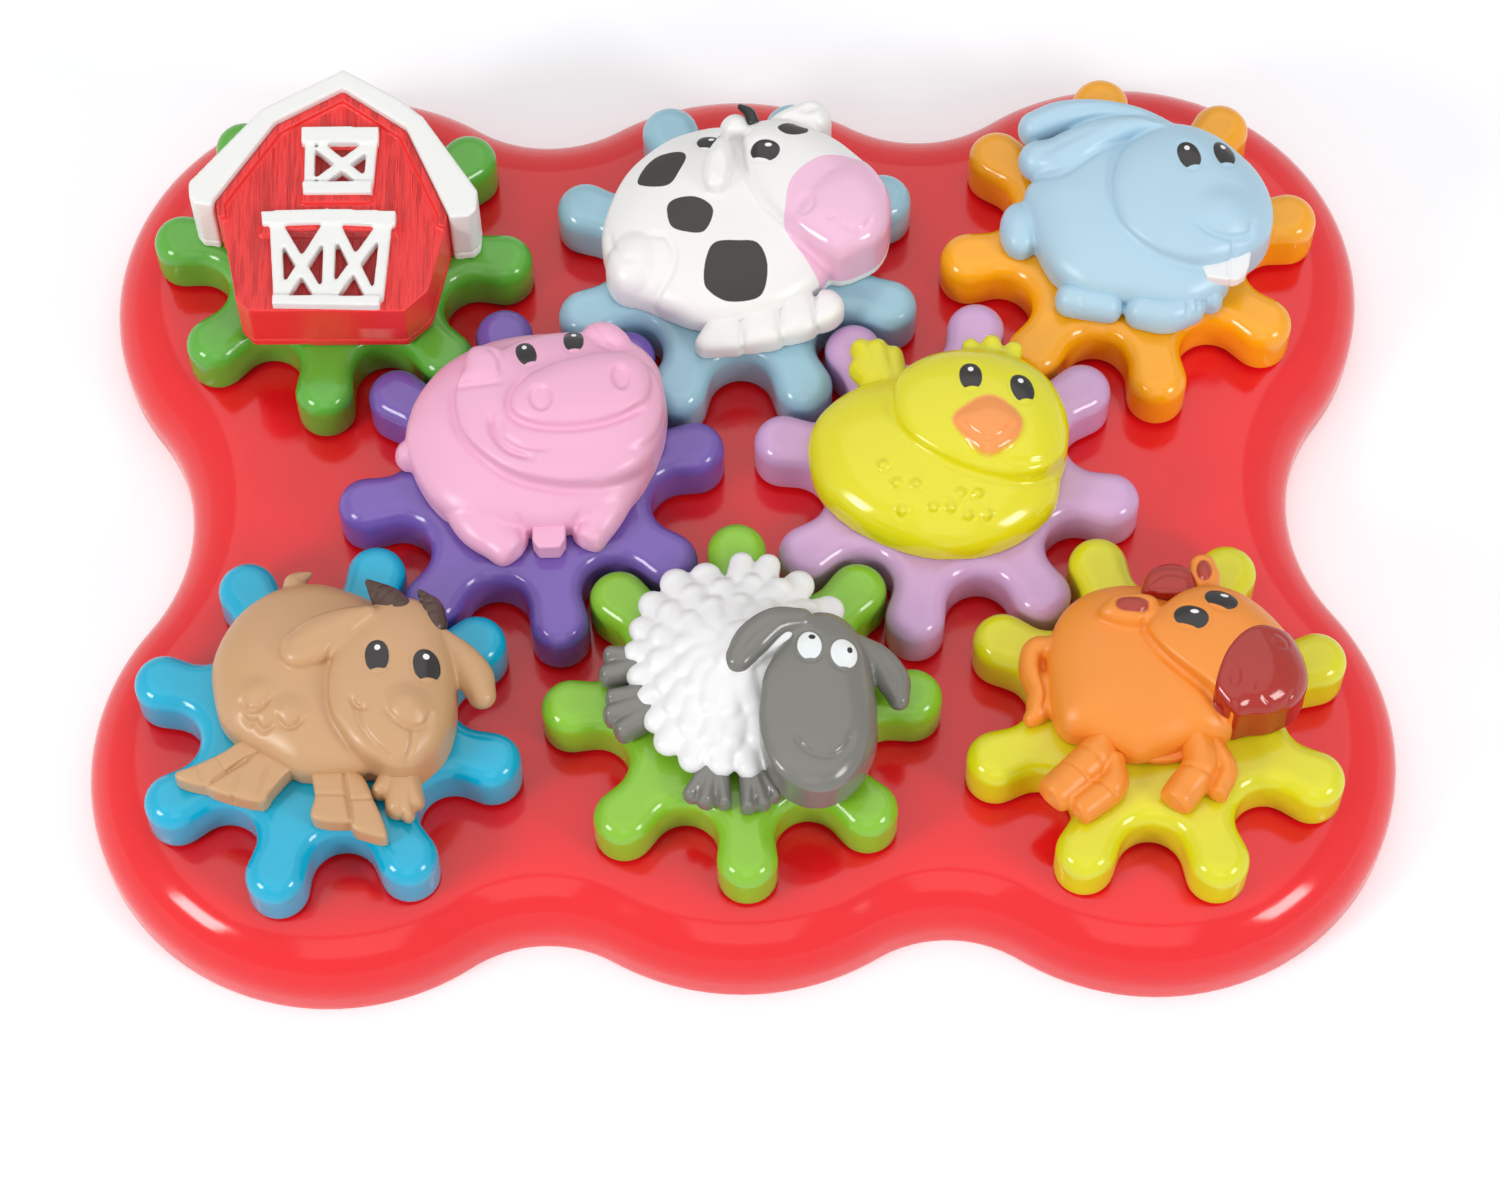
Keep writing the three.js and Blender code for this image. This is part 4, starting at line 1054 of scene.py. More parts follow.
cow = {
    "skin": {
        "body": {"peak": (-5, 3), "high": 15.8, "wall": 5, "edge": [
            (-36.5, -0.5), (-34.5, 10), (-30, 20), (-23, 27.5), (-15, 32.5), (-2, 35), (12, 31), (22, 18),
            (27, 0), (26.5, -9.5), (23, -15), (16, -21), (8, -24.5), (-2.5, -26.5), (-11, -26), (-18.5, -23),
            (-24, -20), (-30, -17.5), (-34, -12)]},
        "haunch": {"oval": (-26.2, -8.4, 8.8, 10.6, -25), "high": 14.8, "wall": 6, "power": 2.3},
        "head": {"peak": (22, 11), "high": 20.6, "wall": 9.5, "power": 2.5, "toward": (-145, 7), "edge": [
            (2, 27), (5, 31), (12, 32.4), (20, 30.6), (28, 26.2), (34, 20.8), (38.6, 15.4), (41.6, 9),
            (42.3, 2), (40.2, -5), (35.2, -10), (27.5, -12.6), (20.2, -8.6), (13.5, -1.4), (7, 7),
            (3.2, 16.5)]},
        "muzzle": {"peak": (29, 3), "high": 21.9, "wall": 14, "power": 2.4, "edge": [
            (13.5, -3), (14.3, 4), (17.7, 10.4), (23, 15.4), (30, 17.8), (36, 17), (41.2, 9), (42.1, 1),
            (39.8, -6), (35, -10.2), (27, -12.4), (20, -8.4)]},
        "leftEar": {"peak": (-4.6, 14.6), "high": 21.4, "wall": 17.2, "power": 2.2, "edge": [
            (-3.4, 25.4), (-0.6, 22.2), (-0.2, 16), (-1.6, 10.6), (-4.4, 7.6), (-7.6, 8.6), (-8.8, 13),
            (-7.8, 18.6), (-5.6, 23)]},
        "rightEar": {"peak": (20.5, 34.6), "high": 16.6, "wall": 9.6, "power": 2.4, "edge": [
            (9, 33), (15, 37.2), (21.6, 39.4), (26, 36.8), (26.6, 32.2), (23.4, 29.4), (16, 30)]},
        "poll": {"oval": (0.4, 30.4, 4.6, 4.4, 10), "high": 17.6, "wall": 11},
    },
    "rims": [  # form, from and to bearing, depth, half width
        ("head", 165, 282, 0.6, 0.9),
    ],
    "rings": [  # x, y, half sizes, turn, depth, half width
        (19.0, 1.6, 2.2, 3.0, -18, 0.5, 0.5),
    ],
    "creases": [  # path, depth, half width
        ([(-34.4, 0), (-33.4, -6), (-30.4, -10.6), (-27, -11.4)], 0.5, 0.9),
        ([(-22.2, -3.8), (-18.6, -5), (-16.4, -10), (-18.2, -16), (-22.4, -21)], 0.7, 1.0),
        ([(24.6, -2.2), (25.4, -3.4), (26.4, -3)], 0.5, 0.5),
        ([(29.4, -5.8), (32, -7.2), (34.8, -6), (36.6, -3)], 0.5, 0.6),
        ([(16, 29.4), (22.4, 28.4), (27, 30.6)], 0.6, 0.9), ([(-1.8, 27), (1.6, 25.8), (5, 27.6)], 0.5, 0.8),
    ],
    "dishes": [  # x, y, half sizes, turn, depth, edge
        (-4.4, 14.4, 2.2, 4.6, 5, 0.5, 1.6), (19.0, 1.6, 2.2, 3.0, -18, 0.5, 0.7),
        (20.6, 34.6, 3.8, 2.2, 20, 0.7, 1.6),
    ],
    "eyes": [  # x, y, half sizes, turn
        (8.4, 19.4, 4.0, 3.4, -22), (-6.8, 26.0, 3.5, 2.6, -14),
    ],
    "pink": [
        (13.4, -3), (13.6, 2), (14.6, 8), (17.8, 12.8), (23.4, 16.6), (28.8, 17.4), (34, 17), (48, 16),
        (52, 0), (40, -16), (26, -18), (17.6, -9),
    ],
    "spots": [
        [(-23.5, 20.6), (-20, 23), (-14.8, 23.2), (-13.2, 21), (-14.8, 16.8), (-17.6, 12), (-22, 11.6),
         (-26.2, 13.3), (-26, 16.3)],
        [(-18.4, 4.5), (-15.8, 7), (-10.6, 7.2), (-6.5, 4.3), (-6.2, 0.6), (-8.6, -3.8), (-13.3, -3.7),
         (-17.4, -1.6)],
        [(-8.7, -16.6), (-7.7, -10.6), (-5.3, -7), (0.7, -6.6), (5.9, -7.2), (8.4, -12.6), (7.8, -19.2),
         (5, -22.2), (-2.6, -23), (-7.7, -20.2)],
        [(11.9, 27.3), (15.3, 29.3), (19.4, 28), (20, 25.5), (16.8, 24.1), (13.6, 24.8)],
    ],
    "feet": [
        ([(-11.4, -32), (-9.4, -28), (-7, -24), (-2.5, -21), (1, -23), (1.7, -33), (-4, -34.4),
          (-9.4, -34.4)],
         (-4.5, -28), 7.2, 3.6),
        ([(1.2, -33), (0.8, -26), (3, -21.6), (8, -20), (11.8, -21), (12.4, -31), (7, -33)], (6.8, -26.6), 8,
         3.8),
        ([(11.4, -30.4), (11.2, -24), (13.5, -18.4), (18, -16.4), (21, -18), (21.8, -27.6), (16, -30.6)],
         (16.5, -23.4), 8.2, 3.8),
        ([(20.8, -27), (20.4, -21), (22.6, -16.8), (26.2, -16.8), (28.9, -20), (28.6, -23.8), (25, -26.8)],
         (24.8, -21.6), 7.8, 3.8),
    ],
    "feetCreases": [
        ([(1.4, -34), (1.0, -27), (2, -22)], 0.5, 0.6), ([(12, -32), (11.6, -26), (12.4, -21)], 0.5, 0.6),
        ([(21.6, -28.4), (21, -23), (21.6, -18)], 0.5, 0.6),
    ],
    "horn": [  # x, y, height, half width, half thickness
        (5.2, 31, 15.5, 1.8, 1.8), (4.2, 33.6, 16, 1.6, 1.6), (1.8, 35.6, 16, 0.9, 0.9),
    ],
    "pinkLow": 3,
    "paints": [  # layer, colour, roughness, softness of the edge
        ("pinkNose", [0.94, 0.74, 0.85], 0.12, 0.12), ("spot", [0.15, 0.12, 0.11], 0.35, 0.12),
    ],
}


def makeCow():
    # One skin with a pink nose and dark spots, four feet under it, and a horn
    piece = fuse("cow_skin", forms(cow["skin"]))
    carve(piece, grooved(cow), cow["dishes"])
    points = meshPoints(piece.data)
    plan = points[:, :2]
    layers = eyeLayers(plan, cow["eyes"])
    nose = insideDistance(plan, smoothLoop(cow["pink"], relief["muzzleSteps"]))
    layers["pinkNose"] = np.minimum(nose, points[:, 2] - cow["pinkLow"])
    spots = [insideDistance(plan, smoothLoop(spot, relief["spotSteps"])) for spot in cow["spots"]]
    layers["spot"] = np.max(spots, axis=0)
    dress(piece, "cow", "cow_white", layers, cow["paints"] + eyePaints, ["cow_front"])
    feet = [pillow(edge, peak, high, wall, power=2.6) for edge, peak, high, wall in cow["feet"]]
    piece = fuse("cow_feet", feet, voxel=0.4, passes=4)
    carve(piece, cow["feetCreases"])
    dress(piece, "cow", "cow_white")
    dress(fuse("cow_horn", [limb(cow["horn"])], voxel=0.3, passes=2), "cow", "cow_white", look="horn_black")


rabbit = {
    "skin": {
        "body": {"peak": (-3, 0), "high": 15.8, "wall": 5, "edge": [
            (-29, 8), (-27.5, -2), (-25, -11), (-21, -18), (-14, -23.5), (-3.5, -25.5), (10, -28),
            (18.5, -26), (26, -19), (24, 0), (15, 20), (3, 28), (-11, 29), (-23, 17)]},
        "head": {"peak": (17, 5), "high": 20.6, "wall": 8.5, "power": 2.4, "toward": (-165, 7), "edge": [
            (-6, 1), (-5.6, 8.5), (-2.5, 16), (3, 21.4), (10, 25.4), (18, 24.8), (25, 21.4), (30.2, 16.4),
            (34.4, 11.4), (37.2, 5.4), (38.2, -1), (37, -7.6), (33, -13.2), (25.5, -17), (16.5, -19),
            (7.7, -17.2), (0.7, -12.8), (-4.4, -6.4)]},
        "backEar": {"path": [
            (-25, 29.4, 6, 4.8, 6), (-18, 31.6, 7, 5, 6.2), (-8, 31.4, 8.5, 4.4, 6.2),
            (3, 28.4, 10, 3.6, 5.6), (13, 22.6, 12, 2.4, 4)]},
        "frontEar": {"path": [
            (-24.6, 18.4, 7, 5.6, 6.4), (-18, 18.2, 8.6, 6.8, 6.6), (-8, 22.8, 10.4, 5.4, 6.4),
            (3, 24.8, 12, 3.4, 5.4), (11, 22.8, 13, 1.6, 4.4)]},
        "tail": {"oval": (-30.2, -1, 5.6, 8.2, 0), "high": 8.5, "wall": 3},
    },
    "rims": [  # form, from and to bearing, depth, half width
        ("head", 150, 285, 0.35, 1.0),
    ],
    "creases": [  # path, depth, half width
        ([(16.4, -9.6), (19.6, -12), (24.8, -13.2), (30, -11.8), (31.4, -8.6)], 0.8, 0.8),
        ([(26, -13.6), (25.8, -16.6), (25, -20)], 0.5, 0.6),
        ([(-29, 24), (-22.4, 24.8), (-11.6, 28), (-2, 28), (9, 24.6)], 0.6, 0.9),
        ([(-27.6, 12), (-19, 10.2), (-8.6, 17), (1, 21.4), (8, 21.8)], 0.4, 1.0),
        ([(-18, 31), (-4.3, 30.6), (6, 27)], 0.35, 1.2), ([(-26, 16.4), (-18, 19.4), (-8, 24)], 0.35, 1.4),
    ],
    "dishes": [  # x, y, half sizes, turn, depth, edge
        (23.8, -5.6, 10.5, 8.5, 4, -1.7, 8.5),
    ],
    "eyes": [  # x, y, half sizes, turn
        (15.2, 11.4, 3.0, 4.6, 14), (25.0, 12.8, 2.9, 4.6, 8),
    ],
    "feet": {
        "backFoot": {"blunt": 2.4, "path": [(-17, -23.4, 2.5, 4.6, 5.6), (-8, -25.3, 2.5, 4.6, 5.4)]},
        "backToe": {"oval": (-18.6, -22, 2.8, 3.4, 0), "high": 7, "wall": 2},
        "frontFoot": {"blunt": 2.4, "path": [
            (2, -27.2, 2.5, 4.9, 6), (8, -28.4, 2.5, 5.0, 6.2), (14, -26.6, 2.5, 4.4, 5.8)]},
        "frontToe": {"oval": (20.3, -23.9, 3.4, 3.1, 0), "high": 7.4, "wall": 2.5},
    },
    "feetCreases": [
        ([(-15.6, -27.6), (-14.8, -24.8)], 0.5, 0.5), ([(13.6, -30), (13.4, -27)], 0.8, 0.5),
        ([(16.4, -29), (16.2, -25.8)], 0.8, 0.5), ([(20.4, -27), (20.6, -24.2)], 0.7, 0.5),
    ],
    "teeth": [
        (16.6, -16), (31.2, -14), (30.4, -18.4), (29.2, -21.4), (27.2, -23), (25.2, -23.3), (18.8, -22.2),
    ],
    "teethCreases": [([(24.8, -16), (24.6, -24)], 0.4, 0.4)],
    "teethHeights": (8.2, 12.2),
}


def makeRabbit():
    # One skin with both ears laid back, feet with toes, and two front teeth with a groove between them
    piece = fuse("rabbit_skin", forms(rabbit["skin"]))
    carve(piece, grooved(rabbit), rabbit["dishes"])
    layers = eyeLayers(planPoints(piece), rabbit["eyes"])
    dress(piece, "rabbit", "rabbit_blue", layers, eyePaints, ["rabbit_front"])
    feet = fuse("rabbit_feet", forms(rabbit["feet"]), voxel=0.4, passes=4)
    carve(feet, rabbit["feetCreases"])
    dress(feet, "rabbit", "rabbit_blue")
    teeth = fuse("rabbit_teeth", [prism(rabbit["teeth"], *rabbit["teethHeights"])], voxel=0.35, passes=4)
    carve(teeth, rabbit["teethCreases"])
    dress(teeth, "rabbit", "trim_white", look="tooth_white")


chick = {
    "skin": {
        "body": {"peak": (-3, -3), "high": 16.4, "wall": 4, "power": 2.1, "edge": [
            (-37, 2), (-35, 10), (-30, 16), (-23, 20.5), (-14, 23), (-4, 23.5), (10, 23), (24, 16.5), (31, 7),
            (32, 0), (30, -7), (28, -15.5), (21, -23), (11.5, -28), (1, -29.5), (-9.5, -28), (-20, -23.5),
            (-28.5, -17.5), (-35, -9)]},
        "head": {"peak": (9, 8), "high": 21.6, "wall": 8, "power": 2.2, "toward": (-140, 9), "edge": [
            (-14, 15), (-11.6, 20), (-5, 24.8), (4, 27.4), (13.5, 27.4), (21.5, 24.4), (28, 18.6),
            (31.5, 10.6), (32.2, 3), (30.6, -4.6), (26.4, -10.2), (19.6, -13), (10.6, -12.6), (1.6, -9.8),
            (-5.4, -5.6), (-10.4, -1.4), (-13.6, 4), (-14.6, 9.6)]},
        "beak": {"peak": (10.2, 0.8), "high": 23.2, "wall": 20, "power": 2.1, "edge": [
            (0.7, 1.4), (5.1, 6.2), (10.1, 8.6), (14.6, 7.0), (19, 2), (18.4, -3), (15.2, -6.4), (10.2, -8.6),
            (6, -6.4)]},
        "leftTuft": {"path": [(8.5, 24, 11, 2.6, 3), (7.0, 29, 11, 2.5, 2.8)]},
        "middleTuft": {"path": [(13, 25, 11, 2.7, 3), (12.6, 30, 11, 2.6, 2.8)]},
        "rightTuft": {"path": [(16.6, 24, 11, 2.6, 3), (18.4, 27.8, 11, 2.6, 2.8)]},
        "lowFeather": {"path": [(-15, 19, 3, 4.0, 5), (-22.5, 27, 3, 3.2, 4.6)]},
        "leftFeather": {"path": [(-15, 20, 3.5, 4.0, 5), (-22, 32.6, 3.5, 3.2, 4.6)]},
        "topFeather": {"path": [(-15, 20, 4, 4.0, 5), (-17.6, 32.4, 4, 3.0, 4.6)]},
        "rightFeather": {"path": [(-13, 20, 3.5, 4.0, 5), (-13.4, 30.6, 3.5, 2.8, 4.4)]},
    },
    "rims": [  # form, from and to bearing, depth, half width
        ("head", 165, 330, 0.6, 0.9),
    ],
    "creases": [  # path, depth, half width
        ([(3, 0.6), (5.4, -1.8), (8.2, -4.2), (10.2, -5), (13.6, -3.6), (16.6, -0.4)], 0.55, 0.6),
        ([(16, -9.4), (21, -9.6), (26, -7.8), (29, -4.4)], 0.3, 0.7),
    ],
    "eyes": [  # x, y, half sizes, turn
        (6.1, 14.6, 3.0, 4.4, 2), (19.6, 11.2, 3.1, 4.5, 12),
    ],
    "scallops": [  # x, y
        (-17.4, -9.2), (-14.0, -14.4), (-9.0, -15.0), (-12.7, -21.4), (-4.6, -21.2), (0, -21.4), (2.5, -17.8),
        (7.0, -17.9), (4.3, -23.2), (9.3, -23.0),
    ],
    "scallopArc": [(-2, 1.2), (-1.3, -0.2), (0, -0.8), (1.3, -0.2), (2, 1.2)],
    "scallopDepth": 0.45,
    "scallopDome": (0.9, 2.2, 2.1, -1.0),
    "eyeRing": (0.4, 0.2, 0.4),
    "paints": [  # layer, colour, roughness, softness of the edge
        ("beakOrange", [0.97, 0.60, 0.30], 0.12, 0.8),
    ],
}


def makeChick():
    # Each scallop of the breast is a low dome over a shallow arc
    piece = fuse("chick_skin", forms(chick["skin"]), passes=8)
    depth = chick["scallopDepth"]
    over, halfX, halfY, rise = chick["scallopDome"]
    arcs = [([(x + right, y + up) for right, up in chick["scallopArc"]], depth, depth)
            for x, y in chick["scallops"]]
    domes = [(x, y + over, halfX, halfY, 0, rise, halfY) for x, y in chick["scallops"]]
    carve(piece, arcs + grooved(chick), domes)
    layers = eyeLayers(planPoints(piece), chick["eyes"])
    beak = smoothLoop(chick["skin"]["beak"]["edge"], relief["beakSteps"])
    layers["beakOrange"] = insideDistance(planPoints(piece), beak)
    dress(piece, "chick", "chick_yellow", layers, chick["paints"] + eyePaints, ["chick_front"])


goat = {
    "skin": {
        "body": {"peak": (-4, 8), "high": 15.8, "wall": 5, "edge": [
            (-29, 7.5), (-28.5, 14), (-26, 20.5), (-22, 26.5), (-16.5, 31), (-11, 33.5), (-3, 34.5),
            (5, 32.5), (13.5, 28), (24, 16), (27.5, -5), (20.5, -17), (10, -19.5), (-2.5, -20), (-8, -18.5),
            (-13.5, -15), (-19, -11.5), (-24, -7.5), (-27, -2.5)]},
        "head": {"peak": (19, 3), "high": 20.8, "wall": 8.5, "power": 2.4, "toward": (175, 9), "edge": [
            (2, 0), (3, 8), (5.5, 14), (10, 20), (14, 24.5), (19.5, 26.5), (25.5, 25.5), (30, 21.5),
            (32.5, 15.5), (34, 8), (34.5, 0), (34, -7), (32, -13.5), (28.5, -18), (24.5, -21), (19.5, -21.7),
            (14.5, -20), (9.5, -17), (6, -12.5), (3, -7)]},
        "leftEar": {"path": [
            (12.5, 20, 18, 2.2, 2.6), (6.5, 17.4, 18, 4.4, 3.2), (0, 13.6, 17.4, 6.2, 3.8),
            (-5, 11, 16.2, 5.6, 3.8)]},
        "rightEar": {"path": [
            (31, 15.5, 12.5, 2.4, 3), (35.6, 11, 10, 4.2, 3.6), (39.2, 6.2, 8, 5.0, 3.8),
            (41, 1.8, 6.5, 3.8, 3.6)]},
        "tail": {"path": [(-7.5, 31.5, 5, 3.6, 4), (-8.6, 35.6, 5, 2.8, 3.2), (-4.8, 38.2, 5, 0.9, 1.2)]},
    },
    "rims": [  # form, from and to bearing, depth, half width
        ("head", 150, 268, 0.5, 0.9),
    ],
    "creases": [  # path, depth, half width
        ([(17.2, -7), (18.4, -9.2), (20.9, -11.6), (24.4, -13), (27.6, -11.8), (29, -9.2)], 0.9, 0.8),
        ([(24.4, -13.4), (24.3, -16.4), (23.0, -20.6)], 0.8, 0.6),
        ([(8.4, -4.6), (10, -7), (12.2, -7.6)], 1.2, 0.7),
        ([(9.7, -7.6), (11.6, -12.8), (14.9, -17), (19.4, -20.4)], 0.8, 0.7),
        ([(-7, 10.4), (0.5, 12.2), (7, 15.4)], 0.3, 1.4),
        ([(-19.8, -2.2), (-17.6, -4.6), (-15, -4.4), (-12.6, -1.6)], 1.0, 0.7),
        ([(-19.7, -5.4), (-18, -7.6), (-16.4, -7.2)], 0.9, 0.7),
        ([(-16.6, -7.4), (-14.4, -9.8), (-11.6, -8.6)], 0.9, 0.7),
        ([(-11.4, -6.4), (-9, -9.4), (-6.2, -9.6), (-4, -7.4)], 1.0, 0.7),
    ],
    "dishes": [  # x, y, half sizes, turn, depth, edge
        (23, -6.6, 7.4, 7.0, 0, -1.8, 7.0), (-16.4, 0, 6.6, 5.4, -8, -1.3, 5.4),
        (-17.8, -4.6, 3.8, 3.6, 0, -0.9, 3.6), (-14, -6, 4.2, 4.2, 0, -1.0, 4.2),
        (-7.8, -5.2, 6.4, 5.2, -10, -1.3, 5.2),
    ],
    "eyes": [  # x, y, half sizes, turn
        (15.0, 6.7, 3.1, 4.6, 4), (27.6, 4.4, 3.4, 4.6, 8),
    ],
    "hooves": [  # edge, peak, height
        ([(-19.6, -9.5), (-24.3, -12.6), (-29.1, -15.2), (-33.9, -17.4), (-37.2, -18.7), (-35.9, -20.8),
          (-29.3, -22.6), (-27.5, -21.1), (-22.5, -17.7), (-15, -12.5)],
         (-26, -17), 7.0),
        ([(-15.5, -12.5), (-7, -16.5), (-9.5, -20.5), (-12.4, -24.2), (-14.5, -27.2), (-21, -26),
          (-28, -23.6), (-28.4, -21.9), (-24, -19), (-18.8, -16)],
         (-18, -20.5), 7.2),
        ([(-2.4, -18.5), (0.6, -17.5), (4.2, -17), (7, -24.5), (8.4, -32.2), (3.5, -33), (-2, -31.4),
          (-1.3, -25.6)],
         (3, -26), 6.8),
        ([(4.2, -17.5), (10.5, -20), (14, -27.3), (16.5, -33.3), (17.3, -37.4), (12.8, -36.6), (8.5, -34.6),
          (8.2, -30.2), (6.8, -24.7)],
         (10.8, -28.5), 7.0),
    ],
    "hoovesCreases": [
        ([(-31.5, -17), (-29.6, -22)], 0.4, 0.45), ([(-26.6, -14.6), (-24, -18.6)], 0.4, 0.45),
        ([(-22.6, -27), (-20.6, -18.6)], 0.45, 0.45), ([(-15.6, -26), (-13.4, -16.6)], 0.45, 0.45),
        ([(-1.6, -25.2), (6.6, -25.6)], 0.4, 0.45), ([(7.4, -27), (13.8, -26.8)], 0.4, 0.45),
        ([(-16.4, -13), (-22, -17.4), (-28.2, -21.8)], 0.8, 0.5),
        ([(5.6, -17.6), (6.9, -24.6), (8.4, -33)], 0.8, 0.5),
    ],
    "beard": [
        [(19, -19, 4, 4, 4.2), (15, -23.4, 3, 2.2, 3.6)],
        [(20, -20, 4, 4, 4.4), (19.4, -27.8, 2.5, 3.0, 4.2)],
        [(22, -20, 4, 3.6, 4.4), (24.4, -26.2, 2.5, 2.2, 3.8)],
        [(21, -20, 4, 3, 4.4), (22.4, -30, 2.5, 1.8, 3.4)],
    ],
    "horns": [
        [(19.6, 22, 15, 4.4, 3.6), (16, 25.8, 15.4, 3.8, 3.2), (11.6, 30.4, 15.4, 0.9, 1)],
        [(28.8, 18.6, 14, 3.6, 3.4), (27.8, 23.4, 14.2, 3.2, 3), (25.0, 28, 14.2, 0.8, 1)],
    ],
    "hornsCreases": [
        ([(21, 25.2), (17.4, 21.6)], 0.4, 0.5), ([(18.4, 27.4), (14.8, 24)], 0.4, 0.5),
        ([(15.6, 29), (13, 26.6)], 0.4, 0.5), ([(31.4, 21.4), (25.8, 20.6)], 0.4, 0.5),
        ([(30.2, 24.4), (25.2, 23.2)], 0.4, 0.5), ([(28, 26.8), (24.8, 25.8)], 0.4, 0.5),
    ],
}


def makeGoat():
    # One skin, square hooves that splay out, a beard of four locks, and two ribbed horns
    piece = fuse("goat_skin", forms(goat["skin"]))
    carve(piece, grooved(goat), goat["dishes"])
    layers = eyeLayers(planPoints(piece), goat["eyes"])
    dress(piece, "goat", "goat_tan", layers, eyePaints, ["goat_front"])
    blocks = [pillow(edge, peak, high, 5, power=5) for edge, peak, high in goat["hooves"]]
    hooves = fuse("goat_hooves", blocks, voxel=0.4, passes=3)
    carve(hooves, goat["hoovesCreases"])
    dress(hooves, "goat", "goat_tan")
    dress(fuse("goat_beard", [limb(path) for path in goat["beard"]], voxel=0.4, passes=4), "goat", "goat_tan")
    horns = fuse("goat_horns", [limb(path) for path in goat["horns"]], voxel=0.35, passes=4)
    carve(horns, goat["hornsCreases"])
    dress(horns, "goat", "goat_tan", look="horn_brown")


